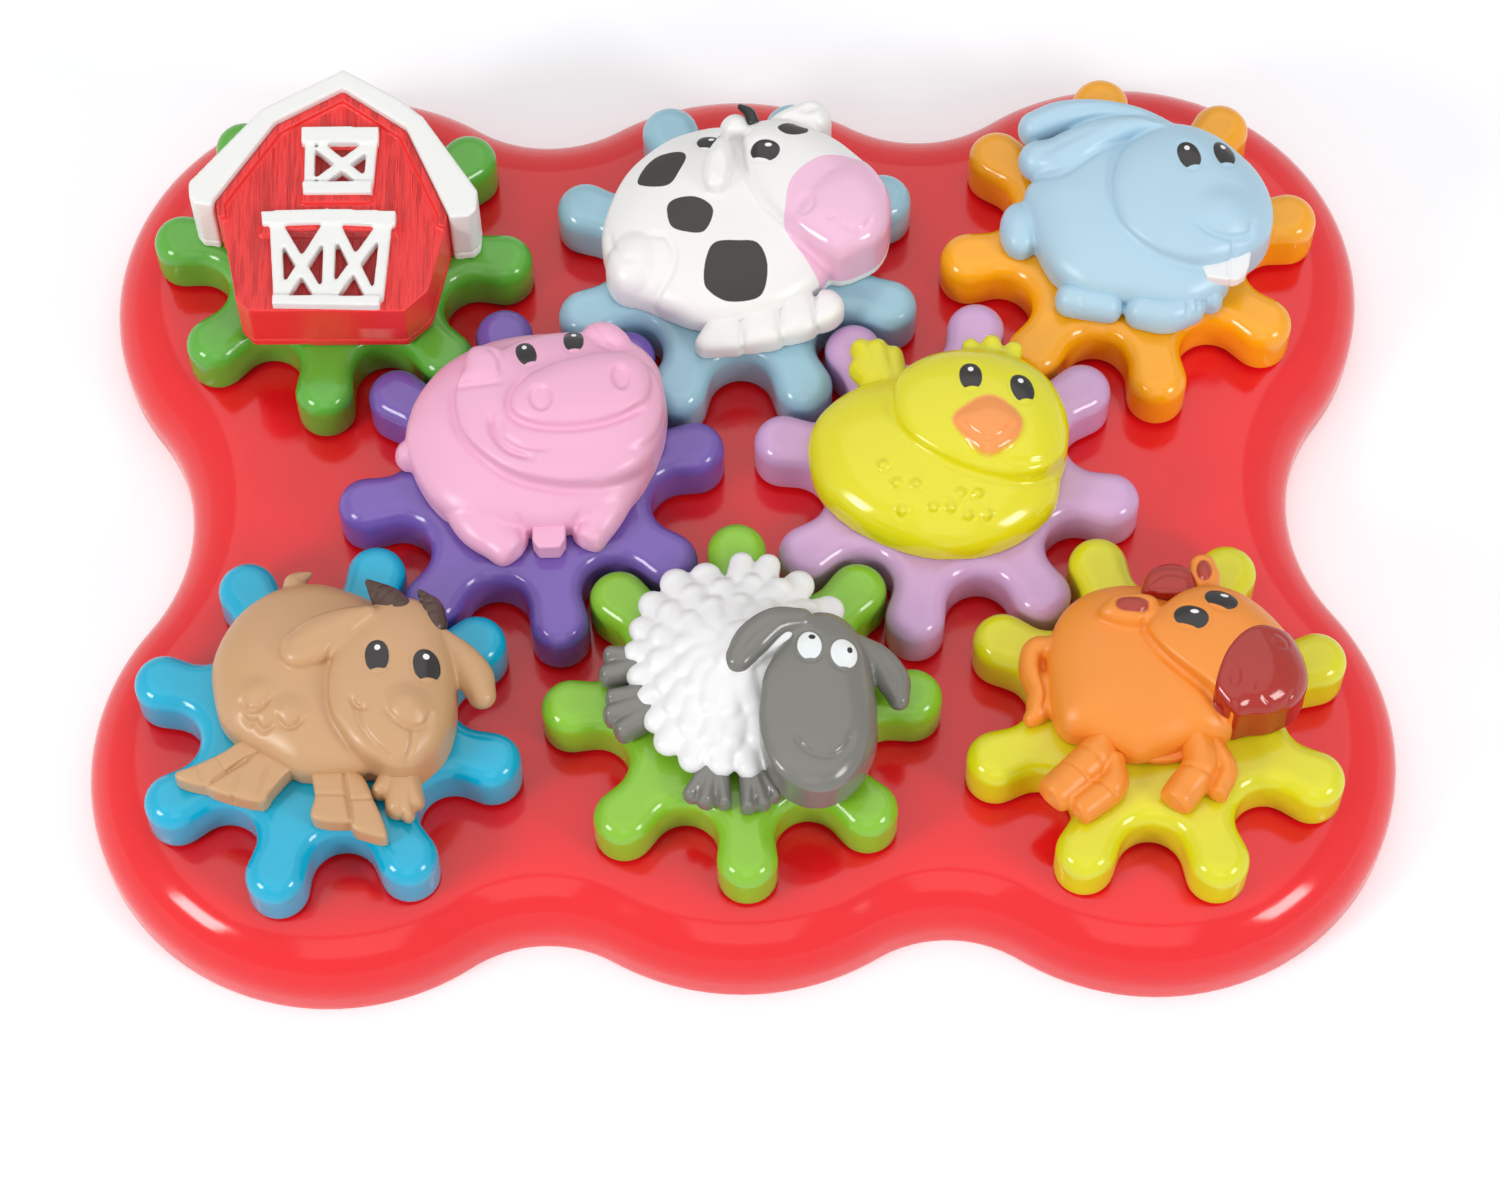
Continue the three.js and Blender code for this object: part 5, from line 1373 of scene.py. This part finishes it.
sheep = {
    "fleece": {
        "base": {"peak": (-1, 7), "high": 16.4, "wall": 6, "power": 2.2, "edge": [
            (-20, 8), (-18, 18), (-12, 24), (-2, 27), (9, 25), (19, 18), (21, 8), (17, -7), (6, -15),
            (-5, -15), (-13, -11), (-19, -2)]},
    },
    "outerTufts": [  # x, y, half width
        (-19.4, 33.4, 4.8), (-10.4, 35.6, 4.8), (0.6, 38.6, 3.6), (8.4, 37.8, 3.6), (18, 32.2, 4.6),
        (26.8, 23.4, 4.6), (29.6, 12, 4.6), (-26.2, 26, 4.4), (-29.2, 17.8, 4.0), (-31, 10, 3.8),
        (-30, 2.4, 3.8), (-27.6, -4.8, 3.8), (-25, -12, 4.0), (-21.6, -19, 4.6), (-14.4, -24.4, 4.2),
        (-6, -26, 4.2), (2, -26.8, 4.0), (9, -25, 4.0),
    ],
    "tufts": [  # x, y, half width, height, sideways bend
        (-14.6, 27.4, 4.6, 9.4, 1.2), (-5.4, 29.4, 4.6, 9.6, -1), (4, 30.6, 4.4, 9.4, 0.8),
        (12.6, 28.8, 4.4, 9.4, 0.6), (21, 20.8, 4.6, 9.4, 0.8), (-21.6, 21.6, 4.4, 9.4, 1),
        (-24.4, 13.6, 4.2, 9.4, 0.8), (-25, 5.6, 4.2, 9.4, -0.8), (-22.8, -2.6, 4.2, 9.4, -1),
        (-20, -9.8, 4.2, 9.4, -1), (-15.6, -16, 4.2, 9.2, -1.2), (-9.4, -19.6, 4.0, 9.2, 1),
        (-2, -20.6, 4.0, 9.2, 1), (5, -20, 4.0, 9.4, 0.6), (-16, 17.4, 4.2, 12.2, 1.4),
        (-8.8, 22.4, 4.2, 12.4, 1.2), (0.6, 23.6, 4.2, 12.4, 0.8), (9, 21.6, 4.2, 12.2, 1),
        (-18.6, 9, 4.2, 12.2, -1.2), (-17.8, 1, 4.2, 12.2, -1.4), (-14.6, -5.6, 4.0, 12.2, -1.6),
        (-9.6, -11.4, 4.0, 12.2, -1.4), (-3, -13.6, 4.0, 12.2, -1), (4, -13, 4.0, 12.2, -1),
        (-10, 11.6, 3.8, 14, 1.4), (-4, 16.4, 3.8, 14.2, 1.2), (3.6, 15.6, 3.8, 14.2, 1),
        (-11, 4.4, 3.8, 14.2, -1.4), (-6.6, -3.4, 3.8, 14.2, -1.6), (0, -5.6, 3.8, 14, -1.4),
        (-3.6, 6, 3.4, 15, 1.2),
    ],
    "skin": {
        "head": {"peak": (20, -7), "high": 21.5, "wall": 7, "low": 3.5, "power": 2.3, "toward": (180, 8.5),
                 "edge": [
            (4.8, -9), (5.8, -3), (8.6, 3), (12, 8.6), (14.6, 13), (18.4, 15.6), (23.4, 15.8), (28, 13.2),
            (31.2, 8.2), (33, 2), (34.3, -6), (34.8, -13.6), (34, -20), (30.5, -27.4), (25.5, -32.4),
            (20, -34.4), (15, -33.8), (9.6, -30.4), (6.4, -25.6), (4.8, -20), (4.3, -14.6)]},
        "leftEar": {"path": [
            (15.6, 12.4, 18.2, 3.2, 3.2), (9, 11.2, 19.4, 4.2, 3.6), (3.2, 6.8, 19, 4.8, 3.7),
            (-0.6, 2, 17.6, 3.9, 3.4)]},
        "rightEar": {"path": [
            (30.6, 8, 12, 2.6, 3.2), (35.6, 4.4, 10, 4.0, 3.6), (39.2, -0.8, 8, 4.5, 3.6),
            (40.4, -5, 6.5, 3.0, 3.2)]},
        "leftEye": {"oval": (17.5, 3.9, 3.8, 4.9, 6), "high": 21.0, "wall": 18},
        "rightEye": {"oval": (26.3, 1.7, 4.1, 5.0, 4), "high": 20.6, "wall": 17.6},
    },
    "rings": [  # x, y, half sizes, turn, depth, half width
        (17.5, 3.9, 3.7, 4.8, 6, 0.35, 0.4), (26.3, 1.7, 4.0, 4.9, 4, 0.35, 0.4),
    ],
    "creases": [  # path, depth, half width
        ([(13.4, -20.8), (15, -24), (18.8, -26.4), (23.4, -26.4), (26.6, -24), (28, -20.6)], 0.7, 0.8),
        ([(-0.4, 2.6), (2.6, 6.6), (7.6, 10.4)], 0.5, 1.0),
        ([(40.2, -4), (38.6, 0.4), (35.4, 4.4)], 0.5, 1.0),
    ],
    "eyes": [  # x, y, half sizes, turn
        (17.5, 3.9, 3.1, 4.2, 6), (26.3, 1.7, 3.4, 4.3, 4),
    ],
    "pupils": [(18.2, 6.4, 0.95, 0.75, -15), (27.8, 2.6, 0.7, 0.95, 0)],
    "toes": [  # from and to: x, y, height, half width, half thickness
        [(-26, 8.6, 3, 3.6, 4.8), (-33.2, 9.8, 3, 2.7, 4.6)],
        [(-26, 6.6, 3, 3.6, 4.8), (-33.8, 4.6, 3, 3.1, 4.6)],
        [(-24, -1.6, 3, 4, 5), (-32.6, -2.4, 3, 2.7, 4.8)],
        [(-24, -4, 3, 4.4, 5.2), (-32.8, -6.8, 3, 3.0, 4.8)], [(-23, -6, 3, 4.4, 5), (-30, -11, 3, 3.0, 4.6)],
        [(-8.4, -22, 2, 2.8, 4.6), (-13.2, -28.8, 2, 2.2, 4.2)],
        [(-7.6, -22, 2, 3.4, 4.8), (-9.4, -30.4, 2, 2.4, 4.4)],
        [(-6.4, -22, 2, 3.2, 4.6), (-4.8, -31.2, 2, 1.9, 4.2)],
        [(1.6, -23, 2, 3.0, 4.6), (1.2, -32.4, 2, 2.0, 4.2)],
        [(2.6, -23, 2, 3.4, 4.8), (5, -31.6, 2, 2.0, 4.4)],
        [(3.4, -22, 2, 3.0, 4.6), (8, -29.4, 2, 1.9, 4.2)],
    ],
    "middle": (-1.0, 6.5),
    "outerLevel": 6.2,
    "tuftLong": 15,
    "tuftForm": [(1.8, 1, 3.4), (1.0, 1.12, 3.6), (-0.4, 0.92, 3.4)],  # rise, share of width, thickness
    "lidDown": 1.3, "lidHalf": (3.4, 1.7),
    "toeBlunt": 3,
    "paints": [  # layer, colour, roughness, softness of the edge
        ("eyeWhite", [0.93, 0.95, 0.95], 0.16, 0.1), ("pupil", [0.05, 0.05, 0.05], 0.16, 0.1),
    ],
}


def makeFleece():
    # Tufts are limbs from inside the fleece to their tips, in rows, each row over the row outside it. The
    # round end of a tuft is its half width long, so the limb ends that far before the tip.
    parts = forms(sheep["fleece"])
    outer = [(*tip, sheep["outerLevel"], 0.0) for tip in sheep["outerTufts"]]
    for x, y, wide, level, bend in outer + sheep["tufts"]:
        tip = np.array([x, y])
        away = tip - sheep["middle"]
        away = away / np.linalg.norm(away)
        root, end = tip - away * sheep["tuftLong"], tip - away * wide
        middle = (root + end) / 2 + np.array([-away[1], away[0]]) * bend
        parts.append(limb([(*spot, level + rise, wide * share, thick)
                           for spot, (rise, share, thick) in zip((root, middle, end), sheep["tuftForm"])]))
    dress(fuse("sheep_fleece", parts, passes=3), "sheep", "fleece_white", nodes=["sheep_front"])


def makeSheep():
    # The white of each eye is an oval cut off by a wide oval below it, with a pupil on it
    makeFleece()
    head = fuse("sheep_face", forms(sheep["skin"]), passes=7)
    rings = [(ovalPath(*oval), depth, width) for *oval, depth, width in sheep["rings"]]
    carve(head, sheep["creases"] + rings)
    plan = planPoints(head)
    white = []
    for eye in sheep["eyes"]:
        lid = ovalInside(plan, eye[0], eye[1] - eye[3] * sheep["lidDown"], *sheep["lidHalf"])
        white.append(np.minimum(ovalInside(plan, *eye), -lid))
    pupils = [ovalInside(plan, *pupil) for pupil in sheep["pupils"]]
    layers = {"eyeWhite": np.max(white, axis=0), "pupil": np.max(pupils, axis=0)}
    dress(head, "sheep", "sheep_grey", layers, sheep["paints"], ["sheep_head"])
    toes = [limb(path, sheep["toeBlunt"]) for path in sheep["toes"]]
    dress(fuse("sheep_feet", toes, voxel=0.4, passes=4), "sheep", "sheep_grey")


horse = {
    "skin": {
        "body": {"peak": (-6, 5), "high": 15.8, "wall": 5, "edge": [
            (-29, 7), (-28.5, 13), (-26, 20.5), (-21.5, 26), (-15, 29.5), (-6, 30.5), (3, 28), (10, 20),
            (16, 5), (18.5, -4), (18, -10.5), (14, -13.8), (8, -14.2), (1, -16.5), (-7, -18), (-13.5, -15.5),
            (-19, -13), (-25, -11), (-28, -5.5)]},
        "head": {"peak": (19, 10), "high": 20.8, "wall": 6.5, "power": 2.2, "toward": (-150, 11), "edge": [
            (-4, 14.6), (1, 20.6), (7, 25.4), (13.5, 27.4), (20.5, 26), (26.2, 22.4), (31, 17.4), (35, 11),
            (37, 4.6), (36.8, -1), (33.4, -6.4), (27.4, -9.4), (21.6, -10), (17.4, -11), (14.8, -8.4),
            (11, -3.4), (3.4, 3.2), (-1.6, 8.8)]},
        "leftEar": {"peak": (-7, 19), "high": 19.6, "wall": 14.6, "power": 2.3, "edge": [
            (-15.8, 19), (-11.8, 22.8), (-4, 23.4), (0, 21.4), (-1.4, 16.4), (-5.2, 14), (-10.2, 14.6),
            (-14.8, 16.8)]},
        "rightEar": {"path": [
            (13.8, 25.4, 11, 2.8, 3), (12.6, 30.6, 11, 4.3, 3.6), (12.4, 33.4, 11, 3.6, 3.2)]},
        "tail": {"path": [
            (-27, 13.5, 4, 3.2, 4.6), (-31.6, 13.6, 3.5, 3.4, 4.4), (-33, 8, 3, 3.2, 4.4),
            (-31, 2, 3, 3.4, 4.4), (-31.6, -3, 2.5, 3.4, 4), (-33.4, -5.2, 2, 2.2, 3)]},
    },
    "rims": [  # form, from and to bearing, depth, half width
        ("head", 160, 268, 0.6, 0.9),
    ],
    "rings": [  # x, y, half sizes, turn, depth, half width
        (-7.2, 19.2, 4.6, 2.5, -6, 0.5, 0.7), (12.4, 31.2, 2.2, 3.3, 0, 0.6, 0.7),
    ],
    "creases": [  # path, depth, half width
        ([(-30, 11), (-30.4, 5), (-29.4, 0), (-30.6, -4.5)], 0.6, 0.7),
    ],
    "eyes": [  # x, y, half sizes, turn
        (7.6, 14.8, 4.5, 3.4, -22), (15.7, 20.0, 4.4, 3.0, -26),
    ],
    "muzzle": [
        (12.6, -7), (13.1, -2.4), (15.9, 4.4), (20.2, 9.6), (25.3, 12.3), (31, 12.6), (37, 13), (42, 5),
        (42, -4), (38, -12), (30, -15), (21, -14), (16.8, -10.4), (14, -8.6),
    ],
    "muzzleRings": [(17.8, -2.4, 1.9, 3.0, -8, 0.35, 0.45), (29.8, 8.2, 2.6, 1.8, -25, 0.35, 0.45)],
    "muzzleCreases": [
        ([(23.5, -4.0), (23.1, -5.6)], 0.3, 0.45),
        ([(25, -7.4), (27.6, -9), (30.4, -8.4), (33, -4.8)], 0.38, 0.5),
    ],
    "legs": {
        "leftFront": {"blunt": 6, "path": [
            (-15.4, -12.8, 3.5, 4.2, 5.6), (-18.4, -17.6, 3.4, 5.2, 5.8), (-26, -24.6, 2.6, 5.2, 5.4)]},
        "leftBack": {"blunt": 6, "path": [
            (-12.6, -19, 2.4, 2.8, 4.6), (-13.4, -24.4, 2.4, 4.0, 5), (-19.8, -29.4, 2, 4.2, 4.6)]},
        "rightFront": {"blunt": 6, "path": [
            (8.6, -12.4, 3.8, 4.2, 5.6), (9.4, -19.6, 3.4, 4.8, 5.8), (4.6, -26.4, 2.6, 4.8, 5.4)]},
        "rightBack": {"blunt": 5, "path": [
            (13.2, -14, 2.8, 2.6, 4.8), (16, -20.8, 2.4, 2.8, 4.8), (14.0, -26.0, 2, 2.6, 4.4)]},
    },
    "legsCreases": [
        ([(-25.2, -19.6), (-19.6, -24.4)], 0.45, 0.5), ([(4.4, -20.6), (12.6, -24.6)], 0.4, 0.5),
        ([(-18.6, -23.8), (-12.6, -28.8)], 0.4, 0.5), ([(-21.6, -14.6), (-15.8, -20)], 0.35, 0.8),
    ],
    "forelock": {
        "lock": {"peak": (3, 28.4), "high": 15.6, "wall": 9, "low": 3, "power": 2.4, "edge": [
            (-4, 25), (-3.6, 28.5), (-1.8, 31.4), (2, 33.4), (6.6, 33.2), (9.6, 30.6), (10.4, 26.6), (9, 23),
            (3, 23.4), (-2, 24)]},
    },
    "forelockCreases": [
        ([(-2, 27), (2, 29.4), (8, 28.8)], 0.4, 0.6), ([(0, 31), (4, 31.4), (8, 30.4)], 0.3, 0.6),
    ],
    "muzzleThick": 0.5,
    "earsInside": [  # x, y, half sizes, turn, power
        (-7.2, 19.2, 4.3, 2.2, -6, 2.6), (12.4, 31.2, 2.0, 3.1),
    ],
    "paints": [  # layer, colour, roughness, softness of the edge
        ("earInside", [0.66, 0.20, 0.13], 0.25, 0.3),
    ],
}


def makeHorse():
    # One skin with the muzzle as a second skin over it, four legs and a forelock
    piece = fuse("horse_skin", forms(horse["skin"]))
    carve(piece, grooved(horse))
    plan = planPoints(piece)
    layers = eyeLayers(plan, horse["eyes"])
    layers["earInside"] = np.max([ovalInside(plan, *oval) for oval in horse["earsInside"]], axis=0)
    outline = smoothLoop(horse["muzzle"], relief["muzzleSteps"])
    muzzle = skinOver(piece, "horse_muzzle_skin", outline, horse["muzzleThick"])
    rings = [(ovalPath(*oval), depth, width) for *oval, depth, width in horse["muzzleRings"]]
    carve(muzzle, rings + horse["muzzleCreases"])
    dress(piece, "horse", "horse_orange", layers, horse["paints"] + eyePaints, ["horse_front"])
    dress(muzzle, "horse", "muzzle_brown", nodes=["horse_muzzle"])
    legs = fuse("horse_legs", forms(horse["legs"]), voxel=0.4, passes=4)
    carve(legs, horse["legsCreases"])
    dress(legs, "horse", "horse_orange")
    forelock = fuse("horse_forelock", forms(horse["forelock"]), voxel=0.4, passes=4)
    carve(forelock, horse["forelockCreases"])
    dress(forelock, "horse", "muzzle_brown")


# The barn: prisms fused into a front, its white roof and bars, and the flat back half under the seam

barn = {
    "wall": [(-31.0, -1), (-25.8, -28.6), (-22.4, -32.2), (19.2, -33), (25.6, -26.6), (29.4, -10), (30.6, -4),
             (18.9, 22.9), (1.2, 36), (-16.9, 25.5), (-32.4, 1.2)],
    "roof": [(-32.8, -1.2), (-37.4, -0.6), (-39.2, 1.8), (-39.6, 6.2), (-20.8, 29.4), (1.3, 41.9),
             (16.5, 32.2), (23.4, 26.2), (38.6, 2.2), (38.4, -3.6), (36.4, -5.8), (31.2, -6.2), (30.6, -4.2),
             (18.9, 22.8), (1.2, 35.9), (-16.9, 25.4), (-32.4, 1.0)],
    "rim": [(-31.4, -4), (-32.2, 1), (-16.8, 25.2), (1.2, 35.8), (18.8, 22.7), (30.5, -4.4), (29.8, -8),
            (27.6, -7), (28.1, -4.4), (17.0, 21.0), (1.1, 33.0), (-15.4, 23.2), (-29.8, 0.4), (-29.2, -3.8)],
    "ledges": [  # corners, height over the panel
        ([(-9.2, 3.4), (9.8, 3.2), (9.8, 0.4), (-9.0, 0.6)], 1.4),
        ([(-20, -6), (17, -6), (17.2, -9.8), (-20, -9.2)], 1.2),
    ],
    "backHigh": 3.0, "seam": 3.3, "panel": 18.6, "rimHigh": 20.4, "roofHigh": 22.2, "blockHigh": 21.2,
    "barHigh": 20.6, "barSunk": 2.6, "fieldDepth": 1.3, "fieldEdge": 0.5, "shadeInset": 0.2,
    "fields": [
        [(-6.2, 18.6), (8.6, 18.4), (8.2, 6.6), (-6.0, 6.8)],
        [(-14.6, -7.4), (-2.4, -7.6), (-2.2, -28.6), (-12.8, -28.4)],
        [(0.2, -7.6), (12.6, -8.4), (11.6, -29.2), (0.2, -28.8)],
    ],
    "blocks": [
        [(-9.8, 24.2), (11.3, 23.9), (11.4, 18.9), (-9.6, 19.2)],
        [(-8.9, 6.8), (9.9, 6.5), (10.0, 2.7), (-8.7, 2.9)],
        [(-19.7, -2.5), (-2, -2.0), (16.7, -3.1), (16.6, -7.8), (-2, -6.4), (-19.3, -6.8)],
        [(-15.8, -28.7), (13.0, -29.5), (13.0, -32.6), (-15.7, -31.6)],
    ],
    "bars": [  # from, to, width
        ((-7.4, 19), (-7.1, 6), 2.7), ((9.6, 19), (8.9, 6), 2.7), ((-4.8, 18.6), (7.8, 6.7), 2.8),
        ((7.9, 18.0), (-4.4, 7.2), 2.8), ((-15.8, -6.6), (-14.0, -29), 3.0), ((14.0, -7.6), (12.4, -30), 3.0),
        ((-1.1, -7), (-1.1, -29.4), 3.2), ((-14.6, -7.6), (-3.2, -28.6), 2.8),
        ((-1.8, -6.8), (-13.0, -28.4), 2.8), ((0.4, -6.8), (10.5, -29.2), 2.8),
        ((12.6, -7.6), (0.2, -28.4), 2.8),
    ],
    # A paler patch painted low on the front wall, below a height
    "palePatch": [(12.0, -32.2, 3.4, 1.6), (8.4, -32.4, 1.6, 1.2)], "palePatchBelow": 9, "shadeAbove": 10,
    # The deep paint is a painted shade of darker red in the sunk door fields
    "paints": [("palePatch", [0.93, 0.42, 0.38], 0.5, 1.0), ("deep", [0.66, 0.10, 0.10], 0.4, 0.3)],
}


def makeBarn():
    # The door fields sink into the front panel and get a painted shade of darker red; a paler patch is
    # painted low on the wall
    seam, panel = barn["seam"], barn["panel"]
    blocks = [prism(barn["wall"], seam, panel), prism(barn["rim"], seam, barn["rimHigh"])]
    blocks += [prism(corners, seam, panel + high) for corners, high in barn["ledges"]]
    front = fuse("barn_wall", blocks, voxel=0.45, passes=3, flat=False)
    points = meshPoints(front.data)
    plan = points[:, :2]
    field = np.max([insideDistance(plan, np.array(corners)) for corners in barn["fields"]], axis=0)
    points[:, 2] -= barn["fieldDepth"] * np.clip(field / barn["fieldEdge"], 0, 1) * (points[:, 2] > panel - 1)
    setMeshPoints(front.data, points)
    palePatch = np.max([ovalInside(plan, *oval) for oval in barn["palePatch"]], axis=0)
    layers = {"palePatch": np.minimum(palePatch, barn["palePatchBelow"] - points[:, 2]),
              # Painted shade over the sunk door fields, only above a height
              "deep": np.minimum(field - barn["shadeInset"], points[:, 2] - barn["shadeAbove"])}
    dress(front, "barn", "barn_red", layers, barn["paints"], ["barn_front"], grain=True)
    low = panel - barn["barSunk"]
    bars = [prism(corners, low, barn["blockHigh"]) for corners in barn["blocks"]]
    bars += [prism(barCorners(*bar), low, barn["barHigh"]) for bar in barn["bars"]]
    dress(fuse("barn_bars", bars, voxel=0.4, passes=3, flat=False), "barn", "trim_white")
    for name, outline, bottom, top, voxel, passes, slot, node in (
            ("barn_roof_trim", "roof", seam, barn["roofHigh"], 0.45, 5, "trim_white", "barn_roof"),
            ("barn_back_wall", "wall", 0, barn["backHigh"], 0.5, 2, "barn_red", "barn_back"),
            ("barn_back_trim", "roof", 0, barn["backHigh"], 0.5, 2, "trim_white", "barn_back")):
        slab = fuse(name, [prism(barn[outline], bottom, top)], voxel, passes, False)
        dress(slab, "barn", slot, nodes=[node])


makePig()
makeCow()
makeRabbit()
makeChick()
print("pig, cow, rabbit and chick made")
makeGoat()
makeSheep()
makeHorse()
makeBarn()
print("goat, sheep, horse and barn made")


# The seats under the figures: flange and hexagonal peg

seat = {
    "flange": 18.0, "flangeRound": 0.5, "flangeTop": 0.4, "flangeHigh": 3.0, "pegLong": 5.0, "pegWall": 3.0,
    "pegRound": 0.5, "tipRound": 0.4, "boreRound": 0.3, "gap": 0.3, "barnHigh": 0.5, "barnTop": 1.5,
    "around": 96, "under": 0.01,
    "slots": {"pig": "pig_pink", "cow": "cow_white", "sheep": "fleece_white", "goat": "goat_tan",
              "chick": "chick_yellow", "rabbit": "rabbit_blue", "horse": "horse_orange", "barn": "barn_red"},
}


def seatRings(onBarn):
    # One closed profile: down the bore, round the peg's tip and up the hexagon, then round the flange and
    # over its top to the middle. Under the barn there is no flange, and both ends lie inside its back half.
    angles = np.linspace(0, 2 * pi, seat["around"], endpoint=False)
    low = toy["figureLow"]
    tip, top = low - seat["pegLong"], low + seat["flangeHigh"]
    radius = toy["socketRadius"] - seat["gap"] / math.cos(pi / 6)
    bore, soft = radius - seat["pegWall"], seat["boreRound"]
    start = low + seat["barnHigh"] if onBarn else low
    circles = [(1, start), (bore - soft, start), (bore, low - seat["tipRound"]), (bore, tip + soft),
               (bore + soft, tip)]
    hexagons = [(radius - seat["tipRound"], tip), (radius, tip + seat["pegRound"])]
    hexagons.append((radius, low + seat["barnTop"] if onBarn else low - seat["under"]))
    flange = seat["flange"]
    lowRound, topRound = seat["flangeRound"], seat["flangeTop"]
    ends = [(1, low + seat["barnTop"])] if onBarn else [
        (flange - lowRound, low), (flange, low + lowRound), (flange, top - topRound),
        (flange - topRound, top), (1, top)]
    rings = [circleRing(ring, angles, z) for ring, z in circles]
    rings += [hexRing(ring, angles, z, seat["pegRound"]) for ring, z in hexagons]
    return rings + [circleRing(ring, angles, z) for ring, z in ends]


def makeSeats():
    # One closed skin under each figure, turned as its gear is; both ends close on the axis
    for name, station in stations.items():
        rings = seatRings(name == "barn")
        points, quads, triangles = ringArrays(rings, low=(0, 0, rings[0][0][2]), high=(0, 0, rings[-1][0][2]))
        points[:, :2] = turnPoints(points[:, :2], station["turn"]) + station["centre"]
        piece = putMesh(name + "_seat", points, quads, triangles)
        node = "barn_back" if name == "barn" else name + "_peg"
        finish(piece, name + "_figure", seat["slots"][name], [node])


makeSeats()
print("seats made")


# Stage

studio = {
    "world": 0.38,
    "floorColour": (0.86, 0.875, 0.90, 1), "floorHalf": 3000, "floorRoughness": 0.9, "floorSpecular": 0.1,
    "glowFrom": 0.45, "glowFull": 1.3, "glowNear": 0.22, "glowFar": 1.0,
    "lamps": [  # place in metres, size, power in watts
        ("left_box", (-1.1, -0.7, 0.8), 0.42, 8),
        ("right_box", (1.1, -0.8, 0.8), 0.42, 7),
        ("top_box", (0.0, 0.45, 2.2), 3.2, 23),
        ("front_box", (0.0, -1.5, 1.5), 1.2, 3.5),
    ],
}

# The camera of the photograph, fitted to the gear centres, tooth ends and board outline
camera = {
    "elevation": 63.209, "azimuth": 0.064, "roll": -0.899, "lens": 102.75, "sensor": 36, "farthest": 20,
    "place": (0.003087, -0.54340, 1.04458),
}


def seenRays(tree):
    # 1 for rays from the camera, and for those that a shine or a clear body sends on, else 0
    path = addNode(tree, "ShaderNodeLightPath").outputs
    shine = combine(tree, "MAXIMUM", path["Is Camera Ray"], path["Is Glossy Ray"])
    return combine(tree, "MAXIMUM", shine, path["Is Transmission Ray"])


def makeFloor():
    # The floor glows for the rays that show it, more so farther from the toy, and keeps the toy's shadow
    half = studio["floorHalf"]
    corners = [(-half, -half, 0), (half, -half, 0), (half, half, 0), (-half, half, 0)]
    piece = putMesh("floor", corners, [(0, 1, 2, 3)])
    material = bpy.data.materials.new("pale_floor")
    material.use_nodes = True
    tree = material.node_tree
    reach = addNode(tree, "ShaderNodeVectorMath", {0: objectPlace(tree)}, operation="LENGTH").outputs["Value"]
    glow = ramp(tree, reach, *(studio[key] for key in ("glowFrom", "glowFull", "glowNear", "glowFar")))
    shader = tree.nodes["Principled BSDF"]
    shader.inputs["Base Color"].default_value = studio["floorColour"]
    shader.inputs["Roughness"].default_value = studio["floorRoughness"]
    shader.inputs["Specular IOR Level"].default_value = studio["floorSpecular"]
    shader.inputs["Emission Color"].default_value = (1, 1, 1, 1)
    tree.links.new(combine(tree, "MULTIPLY", seenRays(tree), glow), shader.inputs["Emission Strength"])
    piece.data.materials.append(material)


def placeHolder(name, data, side, up, back, place):
    # An object whose axes are three directions, at a place
    holder = bpy.data.objects.new(name, data)
    bpy.context.scene.collection.objects.link(holder)
    matrix = np.identity(4)
    matrix[:3] = np.column_stack([side, up, back, place])
    holder.matrix_world = Matrix(matrix.tolist())
    return holder


def makeStudio():
    # The camera and reflections see the world white; everything is lit by its weaker light
    world = bpy.data.worlds.new("studio_world")
    bpy.context.scene.world = world
    world.use_nodes = True
    tree = world.node_tree
    background = tree.nodes["Background"]
    background.inputs["Color"].default_value = (1, 1, 1, 1)
    tree.links.new(ramp(tree, seenRays(tree), 0, 1, studio["world"], 1), background.inputs["Strength"])
    for name, place, size, power in studio["lamps"]:
        lamp = bpy.data.lights.new(name, "AREA")
        lamp.shape = "SQUARE"
        lamp.size = size
        lamp.energy = power
        back = np.array(place) / np.linalg.norm(place)  # lamps face the origin
        side = np.cross([0, 0, 1], back)
        side = side / np.linalg.norm(side)
        placeHolder(name, lamp, side, np.cross(back, side), back, place)


def makeCamera():
    # It looks back at the toy along a direction of its height and bearing, rolled about that direction
    elevation, azimuth, roll = (math.radians(camera[key]) for key in ("elevation", "azimuth", "roll"))
    flat = math.cos(elevation)
    back = np.array([math.sin(azimuth) * flat, -math.cos(azimuth) * flat, math.sin(elevation)])
    level = np.array([math.cos(azimuth), math.sin(azimuth), 0])
    rise = np.cross(back, level)
    right = level * math.cos(roll) + rise * math.sin(roll)
    up = -level * math.sin(roll) + rise * math.cos(roll)
    data = bpy.data.cameras.new("photo_camera")
    data.lens = camera["lens"]
    data.sensor_width = camera["sensor"]
    data.clip_end = camera["farthest"]
    bpy.context.scene.camera = placeHolder("photo_camera", data, right, up, back, camera["place"])


makeFloor()
makeStudio()
makeCamera()
bpy.context.scene.view_settings.view_transform = "Standard"
print("stage set")
